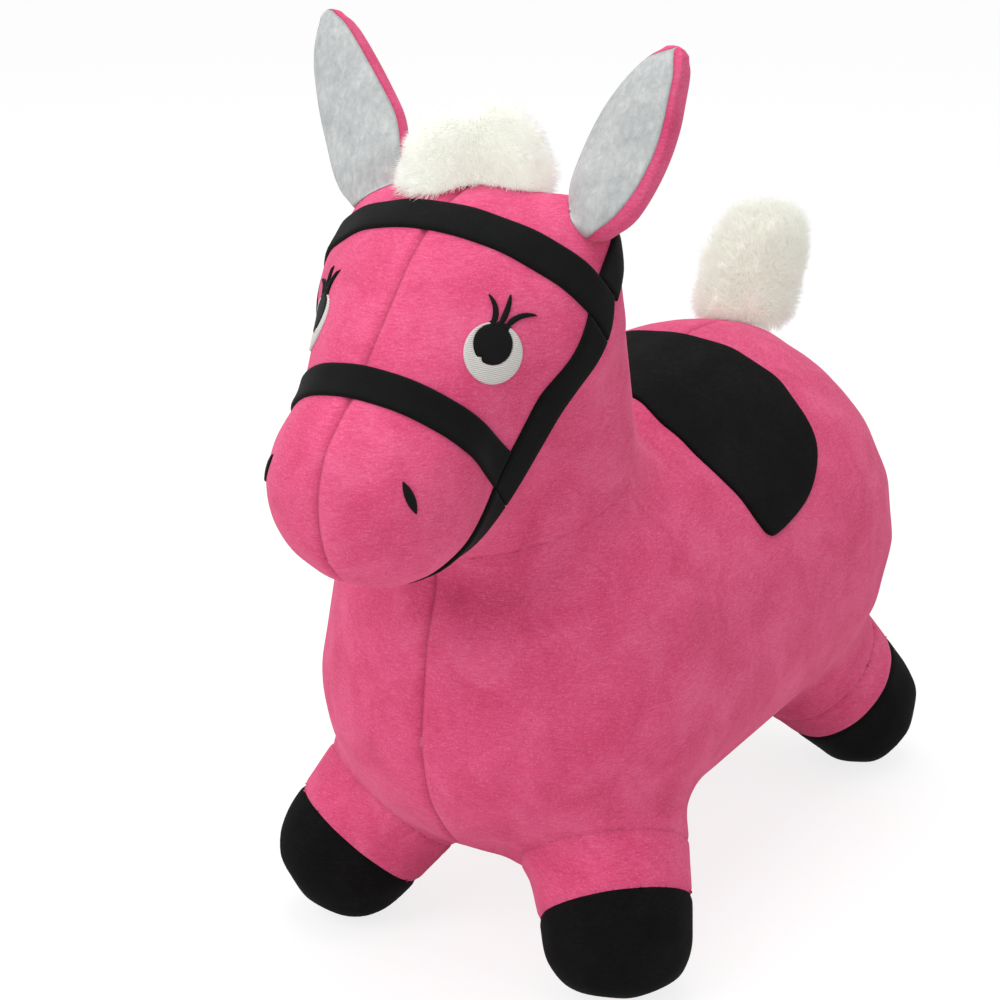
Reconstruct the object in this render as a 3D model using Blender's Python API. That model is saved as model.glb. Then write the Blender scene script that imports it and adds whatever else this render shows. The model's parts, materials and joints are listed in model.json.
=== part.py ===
"""Bouncy ride-on animal: an inflated bladder in a sewn plush cover, with bridle, saddle, ears, mane and tail.

Metres, +Z up. The animal faces -Y, its left side is +X, and it stands on the ground at z = 0.
"""
import math

import bmesh
import bpy
from mathutils import Matrix, Vector
from mathutils.bvhtree import BVHTree

mm = 0.001

# Cloth, bladder and clearances
COVER_THICKNESS = 2.0 * mm
BLADDER_WALL = 2.0 * mm
FIT_GAP = 0.3 * mm
STRAP_THICKNESS = 1.6 * mm
PATCH_THICKNESS = 1.6 * mm
EMBROIDERY_THICKNESS = 0.9 * mm
FOOT_FLAT_DEPTH = 0.5 * mm
REACH = 600.0 * mm

# Torso: four swellings from the chest to the rump
CHEST_Y = -92.0 * mm
CHEST_Z = 183.0 * mm
CHEST_WIDTH = 222.0 * mm
CHEST_LENGTH = 216.0 * mm
CHEST_HEIGHT = 220.0 * mm
BRISKET_Y = -98.0 * mm
BRISKET_Z = 150.0 * mm
BRISKET_WIDTH = 230.0 * mm
BRISKET_LENGTH = 212.0 * mm
BRISKET_HEIGHT = 198.0 * mm
BARREL_Y = 0.0
BARREL_Z = 172.0 * mm
BARREL_WIDTH = 242.0 * mm
BARREL_LENGTH = 200.0 * mm
BARREL_HEIGHT = 242.0 * mm
RUMP_Y = 104.0 * mm
RUMP_Z = 176.0 * mm
RUMP_WIDTH = 250.0 * mm
RUMP_LENGTH = 238.0 * mm
RUMP_HEIGHT = 249.0 * mm

# Neck, skull, face, jaw and muzzle
NECK_FOOT_Y = -112.0 * mm
NECK_FOOT_Z = 240.0 * mm
NECK_FOOT_WIDTH = 148.0 * mm
NECK_TOP_Y = -130.0 * mm
NECK_TOP_Z = 352.0 * mm
NECK_TOP_WIDTH = 142.0 * mm
SKULL_Y = -150.0 * mm
SKULL_Z = 372.0 * mm
SKULL_WIDTH = 168.0 * mm
SKULL_LENGTH = 138.0 * mm
SKULL_HEIGHT = 134.0 * mm
EAR_MOUND_X = 44.0 * mm
EAR_MOUND_Y = -138.0 * mm
EAR_MOUND_Z = 404.0 * mm
EAR_MOUND_WIDTH = 66.0 * mm
FOREHEAD_Y = -175.0 * mm
FOREHEAD_Z = 375.0 * mm
FOREHEAD_WIDTH = 134.0 * mm
FOREHEAD_LENGTH = 100.0 * mm
NOSE_Y = -220.0 * mm
NOSE_Z = 325.0 * mm
NOSE_WIDTH = 100.0 * mm
JAW_Y = -152.0 * mm
JAW_Z = 345.0 * mm
JAW_WIDTH = 144.0 * mm
CHIN_Y = -198.0 * mm
CHIN_Z = 305.0 * mm
CHIN_WIDTH = 104.0 * mm
MUZZLE_Y = -240.0 * mm
MUZZLE_Z = 306.0 * mm
MUZZLE_WIDTH = 112.0 * mm
MUZZLE_LENGTH = 104.0 * mm
MUZZLE_HEIGHT = 106.0 * mm

# Legs: from inside the torso to the hoof
FRONT_LEG_TOP_X = 48.0 * mm
FRONT_LEG_TOP_Y = -100.0 * mm
FRONT_LEG_TOP_Z = 105.0 * mm
FRONT_LEG_TOP_WIDTH = 100.0 * mm
FRONT_HOOF_X = 87.0 * mm
FRONT_HOOF_Y = -142.5 * mm
FRONT_HOOF_WIDTH = 84.0 * mm
REAR_LEG_TOP_X = 45.0 * mm
REAR_LEG_TOP_Y = 135.0 * mm
REAR_LEG_TOP_Z = 105.0 * mm
REAR_LEG_TOP_WIDTH = 104.0 * mm
REAR_HOOF_X = 79.0 * mm
REAR_HOOF_Y = 191.0 * mm
REAR_HOOF_WIDTH = 77.0 * mm
HOOF_LENGTH = 78.0 * mm
HOOF_Z = 42.0 * mm
HOOF_SQUARENESS = 2.35
LEG_REGION_SHARE = 0.68
LEG_REACH_SHARE = 2.0

# Seams of the cover
NECK_SEAM_Z = 253.0 * mm
NECK_SEAM_Y = -188.0 * mm
NECK_SEAM_SLOPE = math.radians(18.0)
FRONT_SLEEVE_LENGTH = 30.0 * mm
REAR_SLEEVE_LENGTH = 26.0 * mm
FRONT_HOOF_SEAM_RISE = 8.0 * mm
REAR_HOOF_SEAM_RISE = 21.0 * mm

# Zip along the belly: cloth tapes, teeth, slider and pull
ZIP_FRONT_Y = -80.0 * mm
ZIP_LENGTH = 116.0 * mm
TAPE_WIDTH = 8.4 * mm
TAPE_THICKNESS = 1.0 * mm
TAPE_DEPTH = 0.5 * mm
TOOTH_PITCH = 4.0 * mm
TOOTH_REACH = 4.5 * mm
TOOTH_THICKNESS = 1.8 * mm
RAIL_WIDTH = 1.4 * mm
RAIL_OFFSET = 2.6 * mm
STOP_LENGTH = 2.0 * mm
SLIDER_LENGTH = 12.0 * mm
SLIDER_WALL = 1.2 * mm
SLIDER_START = 3.0 * mm
SLIDER_GAP = 0.4 * mm
LUG_WIDTH = 2.4 * mm
LUG_LENGTH = 6.0 * mm
LUG_HEIGHT = 4.0 * mm
PULL_PIN_RADIUS = 0.7 * mm
PULL_PIN_GAP = 0.35 * mm
PULL_ARM_WIDTH = 1.3 * mm
PULL_LENGTH = 22.0 * mm
PULL_THICKNESS = 1.4 * mm
PULL_OVERLAP = 0.4 * mm
ZIP_CHECKS = 8

# Air valve behind the zip: eyelet in the cover, seat in the bladder, plug
VALVE_Y = 68.0 * mm
EYELET_HOLE_RADIUS = 14.0 * mm
EYELET_RIM_WIDTH = 3.0 * mm
EYELET_THICKNESS = 1.2 * mm
SEAT_FLANGE_RADIUS = 11.5 * mm
SEAT_FLANGE_THICKNESS = 1.4 * mm
SEAT_TUBE_RADIUS = 7.0 * mm
SEAT_TUBE_HEIGHT = 12.0 * mm
SEAT_BORE_RADIUS = 4.6 * mm
PLUG_GAP = 0.35 * mm
PLUG_HEAD_RADIUS = 9.0 * mm
PLUG_HEAD_THICKNESS = 2.2 * mm
PLUG_STEM_LENGTH = 11.0 * mm
PLUG_TIP_RADIUS = 3.0 * mm
PLUG_RIB_SHARE = 0.55

# Bridle: straps lie in planes that lean forward or back of upright
STRAP_WIDTH = 18.0 * mm
BROWBAND_WIDTH = 20.0 * mm
BRIDLE_JOINT_Y = -155.0 * mm
BRIDLE_JOINT_Z = 387.0 * mm
BROWBAND_LEAN = math.radians(-35.0)
CHEEK_LEAN = math.radians(29.6)
CROWN_LEAN = math.radians(52.0)
NOSEBAND_JOINT_Z = 306.5 * mm
NOSEBAND_LEAN = math.radians(-43.5)

# Saddle patch, wrapped over the barrel
SADDLE_REAR_Y = 84.0 * mm
SADDLE_LENGTH = 115.0 * mm
SADDLE_CORE_Z = 170.0 * mm
SADDLE_CUT_SHARES = (0.75, 1.45)
SADDLE_STEPS = 3
SADDLE_DROP = math.radians(64.0)
# Outline of one half: share of the drop, share of the length from the rear edge
SADDLE_SHARES = (
    (0.0, 0.0), (0.15, -0.01), (0.41, -0.01), (0.59, 0.035), (0.76, 0.113), (0.87, 0.257), (0.95, 0.47),
    (0.99, 0.76), (0.97, 0.85), (0.90, 0.89), (0.80, 0.92), (0.59, 0.99), (0.38, 0.98), (0.20, 0.90),
    (0.0, 0.86),
)

# Eyes and nostrils
EYE_X = 52.0 * mm
EYE_Z = 372.5 * mm
EYE_RADIUS = 14.4 * mm
PUPIL_RADIUS = 9.6 * mm
PUPIL_RISE = 4.2 * mm
LASH_LENGTH = 12.6 * mm
LASH_WIDTH = 2.6 * mm
EYE_SIDES = 28
NOSTRIL_SIDES = 20
LID_WIDTH = 1.6 * mm
LID_STEPS = 6
LID_OVERRUN = math.radians(8.0)
LASH_SHARES = ((0.0, 0.75), (0.3, 1.0), (0.6, 0.75), (0.85, 0.4), (1.0, 0.15))
# Each lash: where it starts round the eye, its heading, and how far it curls, counted from the outer side
LASH_ANGLES = tuple(tuple(math.radians(angle) for angle in row)
                    for row in ((90.0, 76.0, 17.0), (76.0, 47.0, 15.0), (61.0, -6.0, 16.0)))
LASH_LENGTH_SHARES = (0.85, 0.95, 1.0)
EYE_TURN = math.radians(40.0)
EYE_TIP = math.radians(12.0)
NOSTRIL_X = 41.0 * mm
NOSTRIL_Z = 316.0 * mm
NOSTRIL_WIDTH = 7.0 * mm
NOSTRIL_HEIGHT = 17.0 * mm
NOSTRIL_SLANT = math.radians(18.0)

# Ears
EAR_X = 64.0 * mm
EAR_Y = -138.0 * mm
EAR_LENGTH = 87.0 * mm
EAR_WIDTH = 48.0 * mm
EAR_FRONT_DEPTH = 7.0 * mm
EAR_BACK_DEPTH = 21.0 * mm
EAR_ROOT_RADIUS = 8.5 * mm
EAR_CLOTH = 1.4 * mm
LEFT_EAR_LEAN_OUT = math.radians(20.0)
RIGHT_EAR_LEAN_OUT = math.radians(26.0)
EAR_LEAN_BACK = math.radians(14.0)
LEFT_EAR_TOE_IN = math.radians(12.0)
RIGHT_EAR_TOE_IN = math.radians(-8.0)
EAR_SEAM_DEPTH = 2.0 * mm
EAR_SIDES = 12
EAR_ROOT_DIPS = (math.radians(65.0), math.radians(35.0))
EAR_ROOT_SQUARENESS = 0.5
EAR_TWIST_SHARE = 0.35
# Rings up the ear: share of the length, of the width, of the front depth, of the back depth
EAR_SHARES = (
    (0.0, 0.80, 1.0, 1.0), (0.13, 0.94, 0.95, 0.62), (0.28, 1.0, 0.90, 0.88), (0.44, 0.98, 0.85, 1.0),
    (0.60, 0.90, 0.75, 0.97), (0.76, 0.74, 0.62, 0.86), (0.89, 0.51, 0.50, 0.64), (0.97, 0.28, 0.35, 0.38),
)

# Mane and tail
MANE_Y = -143.0 * mm
MANE_WIDTH = 87.0 * mm
MANE_LENGTH = 70.0 * mm
MANE_HEIGHT = 36.0 * mm
BACKING_THICKNESS = 1.2 * mm
BACKING_SHARE = 0.7
TAIL_Y = 174.0 * mm
TAIL_PATCH_RADIUS = 17.0 * mm
TAIL_ROOT_RADIUS = 8.0 * mm
TAIL_CORE_LENGTH = 54.0 * mm
TAIL_CORE_TIP_RADIUS = 5.0 * mm
TAIL_LENGTH = 79.0 * mm
TAIL_WIDTH = 69.0 * mm
TAIL_LEAN = math.radians(3.0)
TAIL_FUR_START_SHARE = 0.10
TAIL_CORE_SIDES = 16
TAIL_FUR_SIDES = 20
DOME_ANGLES = tuple(math.radians(angle) for angle in (25.0, 50.0, 75.0, 90.0))
# Outer line of the tail's fur, top to bottom: share of the length, share of the width
TAIL_SHARES = (
    (0.98, 0.50), (0.92, 0.76), (0.80, 0.92), (0.62, 1.0), (0.42, 1.0), (0.26, 0.94), (0.14, 0.80),
)

# The evened surface: spacing of the remesh, passes of smoothing, and the share of faces kept
SURFACE_GRAIN = 6.0 * mm
SMOOTHING_PASSES = 22
SMOOTHING_SHARE = 0.5
FACES_KEPT_SHARE = 0.035
FOOT_PRESS = 2.2 * mm
WELD = 0.01 * mm
BALL_DIVISIONS = 3

# Sides of round pieces, and the angle that keeps an edge sharp
ROUND_SIDES = 32
TURNED_SIDES = 24
PIN_SIDES = 16
SHARP_ANGLE = math.radians(40.0)


def material(name, colour, roughness, metallic=0.0):
    """A plain Principled material."""
    made = bpy.data.materials.new(name)
    made.use_nodes = True
    shader = made.node_tree.nodes["Principled BSDF"]
    shader.inputs["Base Color"].default_value = (*colour, 1.0)
    shader.inputs["Roughness"].default_value = roughness
    shader.inputs["Metallic"].default_value = metallic
    return made


def add_object(name, mesh, finish, origin=(0, 0, 0)):
    """Put a mesh into the scene as a named piece; a moving piece's origin is on its joint's axis."""
    mesh.name = name
    mesh.materials.clear()
    mesh.materials.append(finish)
    mesh.transform(Matrix.Translation(-Vector(origin)))
    mesh.shade_smooth()
    mesh.set_sharp_from_angle(angle=SHARP_ANGLE)
    made = bpy.data.objects.new(name, mesh)
    made.location = origin
    bpy.context.scene.collection.objects.link(made)
    return made


def from_bmesh(source):
    """A mesh from a bmesh, which is freed."""
    mesh = bpy.data.meshes.new("shape")
    source.to_mesh(mesh)
    source.free()
    return mesh


def evaluated(mesh, setup):
    """The mesh after modifiers that setup(object) adds."""
    holder = bpy.data.objects.new("holder", mesh)
    bpy.context.scene.collection.objects.link(holder)
    setup(holder)
    graph = bpy.context.evaluated_depsgraph_get()
    result = bpy.data.meshes.new_from_object(holder.evaluated_get(graph))
    bpy.data.objects.remove(holder)
    return result


def joined(meshes):
    """One mesh holding all the given ones side by side."""
    whole = bmesh.new()
    for mesh in meshes:
        whole.from_mesh(mesh)
    return from_bmesh(whole)


def swelling(x, y, z, width, length, height):
    """An egg of the given outer sizes."""
    shape = bmesh.new()
    place = Matrix.Translation((x, y, z)) @ Matrix.Diagonal((width / 2, length / 2, height / 2, 1))
    bmesh.ops.create_icosphere(shape, subdivisions=BALL_DIVISIONS, radius=1.0, matrix=place)
    return from_bmesh(shape)


def hoof_end(centre, axis, width, length):
    """A drum with rounded ends, squarer than a ball, along the leg's axis."""
    shape = bmesh.new()
    bmesh.ops.create_icosphere(shape, subdivisions=BALL_DIVISIONS, radius=1.0)
    for vertex in shape.verts:
        across = math.hypot(vertex.co.x, vertex.co.y) ** HOOF_SQUARENESS
        along = abs(vertex.co.z) ** HOOF_SQUARENESS
        vertex.co *= (across + along) ** (-1 / HOOF_SQUARENESS)
    turn = axis.to_track_quat("Z", "Y").to_matrix().to_4x4()
    place = Matrix.Translation(centre) @ turn @ Matrix.Diagonal((width / 2, width / 2, length / 2, 1))
    shape.transform(place)
    return from_bmesh(shape)


def stretched(meshes):
    """The skin stretched tight round several shapes."""
    shape = bmesh.new()
    for mesh in meshes:
        shape.from_mesh(mesh)
    found = bmesh.ops.convex_hull(shape, input=shape.verts)
    inside = {item for key in ("geom_interior", "geom_unused") for item in found[key]}
    loose = [item for item in inside if isinstance(item, bmesh.types.BMVert)]
    bmesh.ops.delete(shape, geom=loose, context="VERTS")
    return from_bmesh(shape)


def leg_axis(top, hoof):
    """The unit vector down a leg."""
    return (Vector(hoof) - Vector(top)).normalized()


FRONT_LEG_TOP = Vector((FRONT_LEG_TOP_X, FRONT_LEG_TOP_Y, FRONT_LEG_TOP_Z))
FRONT_HOOF = Vector((FRONT_HOOF_X, FRONT_HOOF_Y, HOOF_Z))
REAR_LEG_TOP = Vector((REAR_LEG_TOP_X, REAR_LEG_TOP_Y, REAR_LEG_TOP_Z))
REAR_HOOF = Vector((REAR_HOOF_X, REAR_HOOF_Y, HOOF_Z))


def leg(top, hoof, top_width, hoof_width, side):
    """One leg from inside the torso to the rounded hoof; side is 1 for left and -1 for right."""
    flip = Vector((side, 1, 1))
    top, hoof = top * flip, hoof * flip
    thigh = swelling(*top, top_width, top_width, top_width)
    return stretched([thigh, hoof_end(hoof, leg_axis(top, hoof), hoof_width, HOOF_LENGTH)])


def rough_body():
    """Every swelling of the animal, side by side and overlapping."""
    torso = stretched([
        swelling(0, CHEST_Y, CHEST_Z, CHEST_WIDTH, CHEST_LENGTH, CHEST_HEIGHT),
        swelling(0, BRISKET_Y, BRISKET_Z, BRISKET_WIDTH, BRISKET_LENGTH, BRISKET_HEIGHT),
        swelling(0, BARREL_Y, BARREL_Z, BARREL_WIDTH, BARREL_LENGTH, BARREL_HEIGHT),
        swelling(0, RUMP_Y, RUMP_Z, RUMP_WIDTH, RUMP_LENGTH, RUMP_HEIGHT),
    ])
    neck = stretched([
        swelling(0, NECK_FOOT_Y, NECK_FOOT_Z, NECK_FOOT_WIDTH, NECK_FOOT_WIDTH, NECK_FOOT_WIDTH),
        swelling(0, NECK_TOP_Y, NECK_TOP_Z, NECK_TOP_WIDTH, NECK_TOP_WIDTH, NECK_TOP_WIDTH),
    ])
    skull = swelling(0, SKULL_Y, SKULL_Z, SKULL_WIDTH, SKULL_LENGTH, SKULL_HEIGHT)
    face = stretched([
        swelling(0, FOREHEAD_Y, FOREHEAD_Z, FOREHEAD_WIDTH, FOREHEAD_LENGTH, FOREHEAD_LENGTH),
        swelling(0, NOSE_Y, NOSE_Z, NOSE_WIDTH, NOSE_WIDTH, NOSE_WIDTH),
    ])
    jaw = stretched([
        swelling(0, JAW_Y, JAW_Z, JAW_WIDTH, JAW_WIDTH, JAW_WIDTH),
        swelling(0, CHIN_Y, CHIN_Z, CHIN_WIDTH, CHIN_WIDTH, CHIN_WIDTH),
    ])
    muzzle = swelling(0, MUZZLE_Y, MUZZLE_Z, MUZZLE_WIDTH, MUZZLE_LENGTH, MUZZLE_HEIGHT)
    shapes = [torso, neck, skull, face, jaw, muzzle]
    for side in (1, -1):
        mound = swelling(side * EAR_MOUND_X, EAR_MOUND_Y, EAR_MOUND_Z, EAR_MOUND_WIDTH, EAR_MOUND_WIDTH,
                         EAR_MOUND_WIDTH)
        shapes.append(mound)
        shapes.append(leg(FRONT_LEG_TOP, FRONT_HOOF, FRONT_LEG_TOP_WIDTH, FRONT_HOOF_WIDTH, side))
        shapes.append(leg(REAR_LEG_TOP, REAR_HOOF, REAR_LEG_TOP_WIDTH, REAR_HOOF_WIDTH, side))
    return joined(shapes)


def press_feet_flat(mesh):
    """Stand the front and the rear legs on the ground and press their soles flat just below it."""
    for end in (-1, 1):
        low = [vertex for vertex in mesh.vertices if vertex.co.y * end > 0 and vertex.co.z < HOOF_Z]
        lowest = min(vertex.co.z for vertex in low)
        for vertex in low:
            share = 1 - (vertex.co.z - lowest) / (HOOF_Z - lowest)
            vertex.co.z -= share * (lowest + FOOT_PRESS)
            vertex.co.z = max(vertex.co.z, -FOOT_FLAT_DEPTH)


def body_surface():
    """The outer surface of the whole inflated animal, without ears and tail, alike on both sides."""
    def even(holder):
        remesh = holder.modifiers.new("remesh", "REMESH")
        remesh.mode = "VOXEL"
        remesh.voxel_size = SURFACE_GRAIN
        smooth = holder.modifiers.new("smooth", "SMOOTH")
        smooth.factor = SMOOTHING_SHARE
        smooth.iterations = SMOOTHING_PASSES

    def thin_and_mirror(holder):
        thin = holder.modifiers.new("thin", "DECIMATE")
        thin.ratio = FACES_KEPT_SHARE
        mirror = holder.modifiers.new("mirror", "MIRROR")
        mirror.use_bisect_axis[0] = True
        mirror.merge_threshold = WELD
        holder.modifiers.new("triangulate", "TRIANGULATE")

    soft = evaluated(rough_body(), even)
    press_feet_flat(soft)
    return evaluated(soft, thin_and_mirror)


def offset(mesh, distance):
    """A copy of a surface moved outward along its normals."""
    moved = mesh.copy()
    normals = [vertex.normal.copy() for vertex in mesh.vertices]
    for vertex, normal in zip(moved.vertices, normals):
        vertex.co += normal * distance
    return moved


def layer(mesh, outer, inner):
    """The closed skin between two offsets of a surface."""
    skin = bmesh.new()
    skin.from_mesh(offset(mesh, inner))
    bmesh.ops.reverse_faces(skin, faces=skin.faces)
    skin.from_mesh(offset(mesh, outer))
    return from_bmesh(skin)


def cut(mesh, tool_mesh, operation):
    """The exact Boolean of two closed meshes, or the manifold one where the exact one loses the piece."""
    tool = bpy.data.objects.new("cutter", tool_mesh)
    bpy.context.scene.collection.objects.link(tool)
    tool.display_type = "WIRE"
    tool.hide_render = True

    def add_boolean(holder, solver="EXACT"):
        boolean = holder.modifiers.new("cut", "BOOLEAN")
        boolean.operation = operation
        boolean.solver = solver
        boolean.object = tool

    result = evaluated(mesh, add_boolean)
    if not result.polygons:
        result = evaluated(mesh, lambda holder: add_boolean(holder, "MANIFOLD"))
    bpy.data.objects.remove(tool)
    return result


def keep(mesh, *tools):
    """What lies inside every tool."""
    for tool in tools:
        mesh = cut(mesh, tool, "INTERSECT")
    return mesh


def drop(mesh, *tools):
    """What lies outside every tool."""
    for tool in tools:
        mesh = cut(mesh, tool, "DIFFERENCE")
    return mesh


def fused(*meshes):
    """One solid from overlapping ones."""
    whole = meshes[0]
    for mesh in meshes[1:]:
        whole = cut(whole, mesh, "UNION")
    return whole


def block(centre, size, turn=Matrix()):
    """A box of the given size about its centre."""
    shape = bmesh.new()
    place = Matrix.Translation(centre) @ turn @ Matrix.Diagonal((*size, 1))
    bmesh.ops.create_cube(shape, size=1.0, matrix=place)
    return from_bmesh(shape)


def facing(direction):
    """The turn that points a tool's Z axis along a direction."""
    return Vector(direction).normalized().to_track_quat("Z", "Y").to_matrix().to_4x4()


def beyond(point, direction):
    """Everything on one side of a plane."""
    centre = Vector(point) + Vector(direction).normalized() * REACH
    return block(centre, (2 * REACH, 2 * REACH, 2 * REACH), facing(direction))


def slab(point, direction, thickness):
    """A plate of the given thickness, centred on a plane."""
    return block(point, (2 * REACH, 2 * REACH, thickness), facing(direction))


def rod(start, direction, radius, length, sides=ROUND_SIDES):
    """A straight bar from its start along a direction."""
    shape = bmesh.new()
    place = Matrix.Translation(start) @ facing(direction) @ Matrix.Translation((0, 0, length / 2))
    bmesh.ops.create_cone(shape, cap_ends=True, segments=sides, radius1=radius, radius2=radius, depth=length,
                          matrix=place)
    return from_bmesh(shape)


def lofted(rings, first, last):
    """A closed body through rings of points, with a point at each end."""
    shape = bmesh.new()
    rows = [[shape.verts.new(point) for point in ring] for ring in rings]
    ends = [shape.verts.new(first), shape.verts.new(last)]
    count = len(rows[0])
    for low, high in zip(rows, rows[1:]):
        for k in range(count):
            after = (k + 1) % count
            shape.faces.new((low[k], low[after], high[after]))
            shape.faces.new((low[k], high[after], high[k]))
    for k in range(count):
        after = (k + 1) % count
        shape.faces.new((ends[0], rows[0][after], rows[0][k]))
        shape.faces.new((ends[1], rows[-1][k], rows[-1][after]))
    bmesh.ops.recalc_face_normals(shape, faces=shape.faces)
    return from_bmesh(shape)


def turned(profile, base, direction, sides=TURNED_SIDES):
    """A turned body: a closed profile of (radius, height) pairs about an axis."""
    shape = bmesh.new()
    rows = []
    for radius, height in profile:
        if radius == 0:
            rows.append([shape.verts.new((0, 0, height))] * sides)
            continue
        angles = [math.tau * k / sides for k in range(sides)]
        ring = [(radius * math.cos(angle), radius * math.sin(angle), height) for angle in angles]
        rows.append([shape.verts.new(point) for point in ring])
    for low, high in zip(rows, rows[1:] + rows[:1]):
        if low[0] is low[1] and high[0] is high[1]:
            continue
        for k in range(sides):
            after = (k + 1) % sides
            corners = dict.fromkeys((low[k], low[after], high[after], high[k]))
            shape.faces.new(list(corners))
    bmesh.ops.recalc_face_normals(shape, faces=shape.faces)
    shape.transform(Matrix.Translation(base) @ facing(direction))
    return from_bmesh(shape)


def extruded(outline, place, depth):
    """A prism: an outline in its own XY plane, raised along Z, set by a matrix."""
    shape = bmesh.new()
    floor = [shape.verts.new((x, y, 0)) for x, y in outline]
    face = shape.faces.new(floor)
    raised = bmesh.ops.extrude_face_region(shape, geom=[face])["geom"]
    bmesh.ops.translate(shape, verts=[item for item in raised if isinstance(item, bmesh.types.BMVert)],
                        vec=(0, 0, depth))
    bmesh.ops.triangulate(shape, faces=[item for item in shape.faces if len(item.verts) > 4])
    shape.transform(place)
    bmesh.ops.recalc_face_normals(shape, faces=shape.faces)
    return from_bmesh(shape)


class Seat:
    """Places on the animal's surface, found by looking along a direction from outside."""

    def __init__(self, surface):
        solid = bmesh.new()
        solid.from_mesh(surface)
        self.tree = BVHTree.FromBMesh(solid)
        solid.free()

    def find(self, through, direction):
        """The first point met along a direction, and the surface's outward normal there."""
        direction = Vector(direction).normalized()
        point, normal, _, _ = self.tree.ray_cast(Vector(through) - direction * REACH, direction)
        return point, normal

    def crest(self, y, height):
        """The point on top at the middle plane, seen from above a height, and its normal there."""
        point, normal = self.find((0, y, height), (0, 0, -1))
        return Vector((0, point.y, point.z)), Vector((0, normal.y, normal.z)).normalized()


def seam_planes():
    """The neck seam's point and normal, rising to the back of the neck."""
    point = Vector((0, NECK_SEAM_Y, NECK_SEAM_Z))
    normal = Vector((0, -math.sin(NECK_SEAM_SLOPE), math.cos(NECK_SEAM_SLOPE)))
    return point, normal


def leg_seam(top, hoof, rise, length, side):
    """The leg's axis, and the points on it where the hoof cover and the sleeve begin."""
    flip = Vector((side, 1, 1))
    axis = leg_axis(top * flip, hoof * flip)
    hoof_start = hoof * flip - axis * rise
    return axis, hoof_start, hoof_start - axis * length


def leg_region(start, axis, width, grow):
    """The space round a leg from a seam to past the hoof; grow moves the seam up the leg."""
    return rod(start - axis * grow, axis, width * LEG_REGION_SHARE, HOOF_LENGTH * LEG_REACH_SHARE)


def make_cover(surface, seat, finishes):
    """The plush cover: head, body, leg and hoof panels, a seam apart."""
    half_gap = FIT_GAP / 2
    cover = keep(layer(surface, 0, -COVER_THICKNESS), beyond((0, 0, 0), (0, 0, 1)))
    neck, up = seam_planes()
    head = keep(cover, beyond(neck + up * half_gap, up))
    torso = keep(cover, beyond(neck - up * half_gap, -up))
    torso = drop(torso, zip_slot(seat), valve_hole(seat, EYELET_HOLE_RADIUS))
    for name, side in (("left", 1), ("right", -1)):
        half = beyond((side * half_gap, 0, 0), (side, 0, 0))
        add_object(f"cover_head_{name}", keep(head, half), finishes["plush"])
        body = keep(torso, half)
        legs = (
            ("front", FRONT_LEG_TOP, FRONT_HOOF, FRONT_HOOF_WIDTH, FRONT_HOOF_SEAM_RISE, FRONT_SLEEVE_LENGTH),
            ("rear", REAR_LEG_TOP, REAR_HOOF, REAR_HOOF_WIDTH, REAR_HOOF_SEAM_RISE, REAR_SLEEVE_LENGTH),
        )
        for end, top, hoof, width, rise, length in legs:
            axis, hoof_start, sleeve_start = leg_seam(top, hoof, rise, length, side)
            whole = keep(body, leg_region(sleeve_start, axis, width, -half_gap))
            body = drop(body, leg_region(sleeve_start, axis, width, half_gap))
            sleeve = drop(whole, leg_region(hoof_start, axis, width, half_gap))
            sole = keep(whole, leg_region(hoof_start, axis, width, -half_gap))
            add_object(f"leg_sleeve_{end}_{name}", sleeve, finishes["plush"])
            add_object(f"hoof_cover_{end}_{name}", sole, finishes["black plush"])
        add_object(f"cover_body_{name}", body, finishes["plush"])


def make_bladder(surface, seat, finishes):
    """The inflated bladder, hollow, open only at the valve's bore."""
    outer = -COVER_THICKNESS - FIT_GAP
    bladder = layer(surface, outer, outer - BLADDER_WALL)
    add_object("air_bladder", drop(bladder, valve_hole(seat, SEAT_TUBE_RADIUS + FIT_GAP)), finishes["vinyl"])


def belly(seat, y):
    """The lowest point of the belly at a place along it."""
    return seat.find((0, y, 0), (0, 0, 1))[0]


def valve_seat_place(seat):
    """Where the valve sits on the belly, and the direction straight in from there."""
    point, normal = seat.find((0, VALVE_Y, 0), (0, 0, 1))
    return point, Vector((0, -normal.y, -normal.z)).normalized()


def valve_hole(seat, radius):
    """A round hole straight in through the belly at the valve."""
    point, inward = valve_seat_place(seat)
    return rod(point - inward * SEAT_TUBE_HEIGHT, inward, radius, 3 * SEAT_TUBE_HEIGHT)


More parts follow.
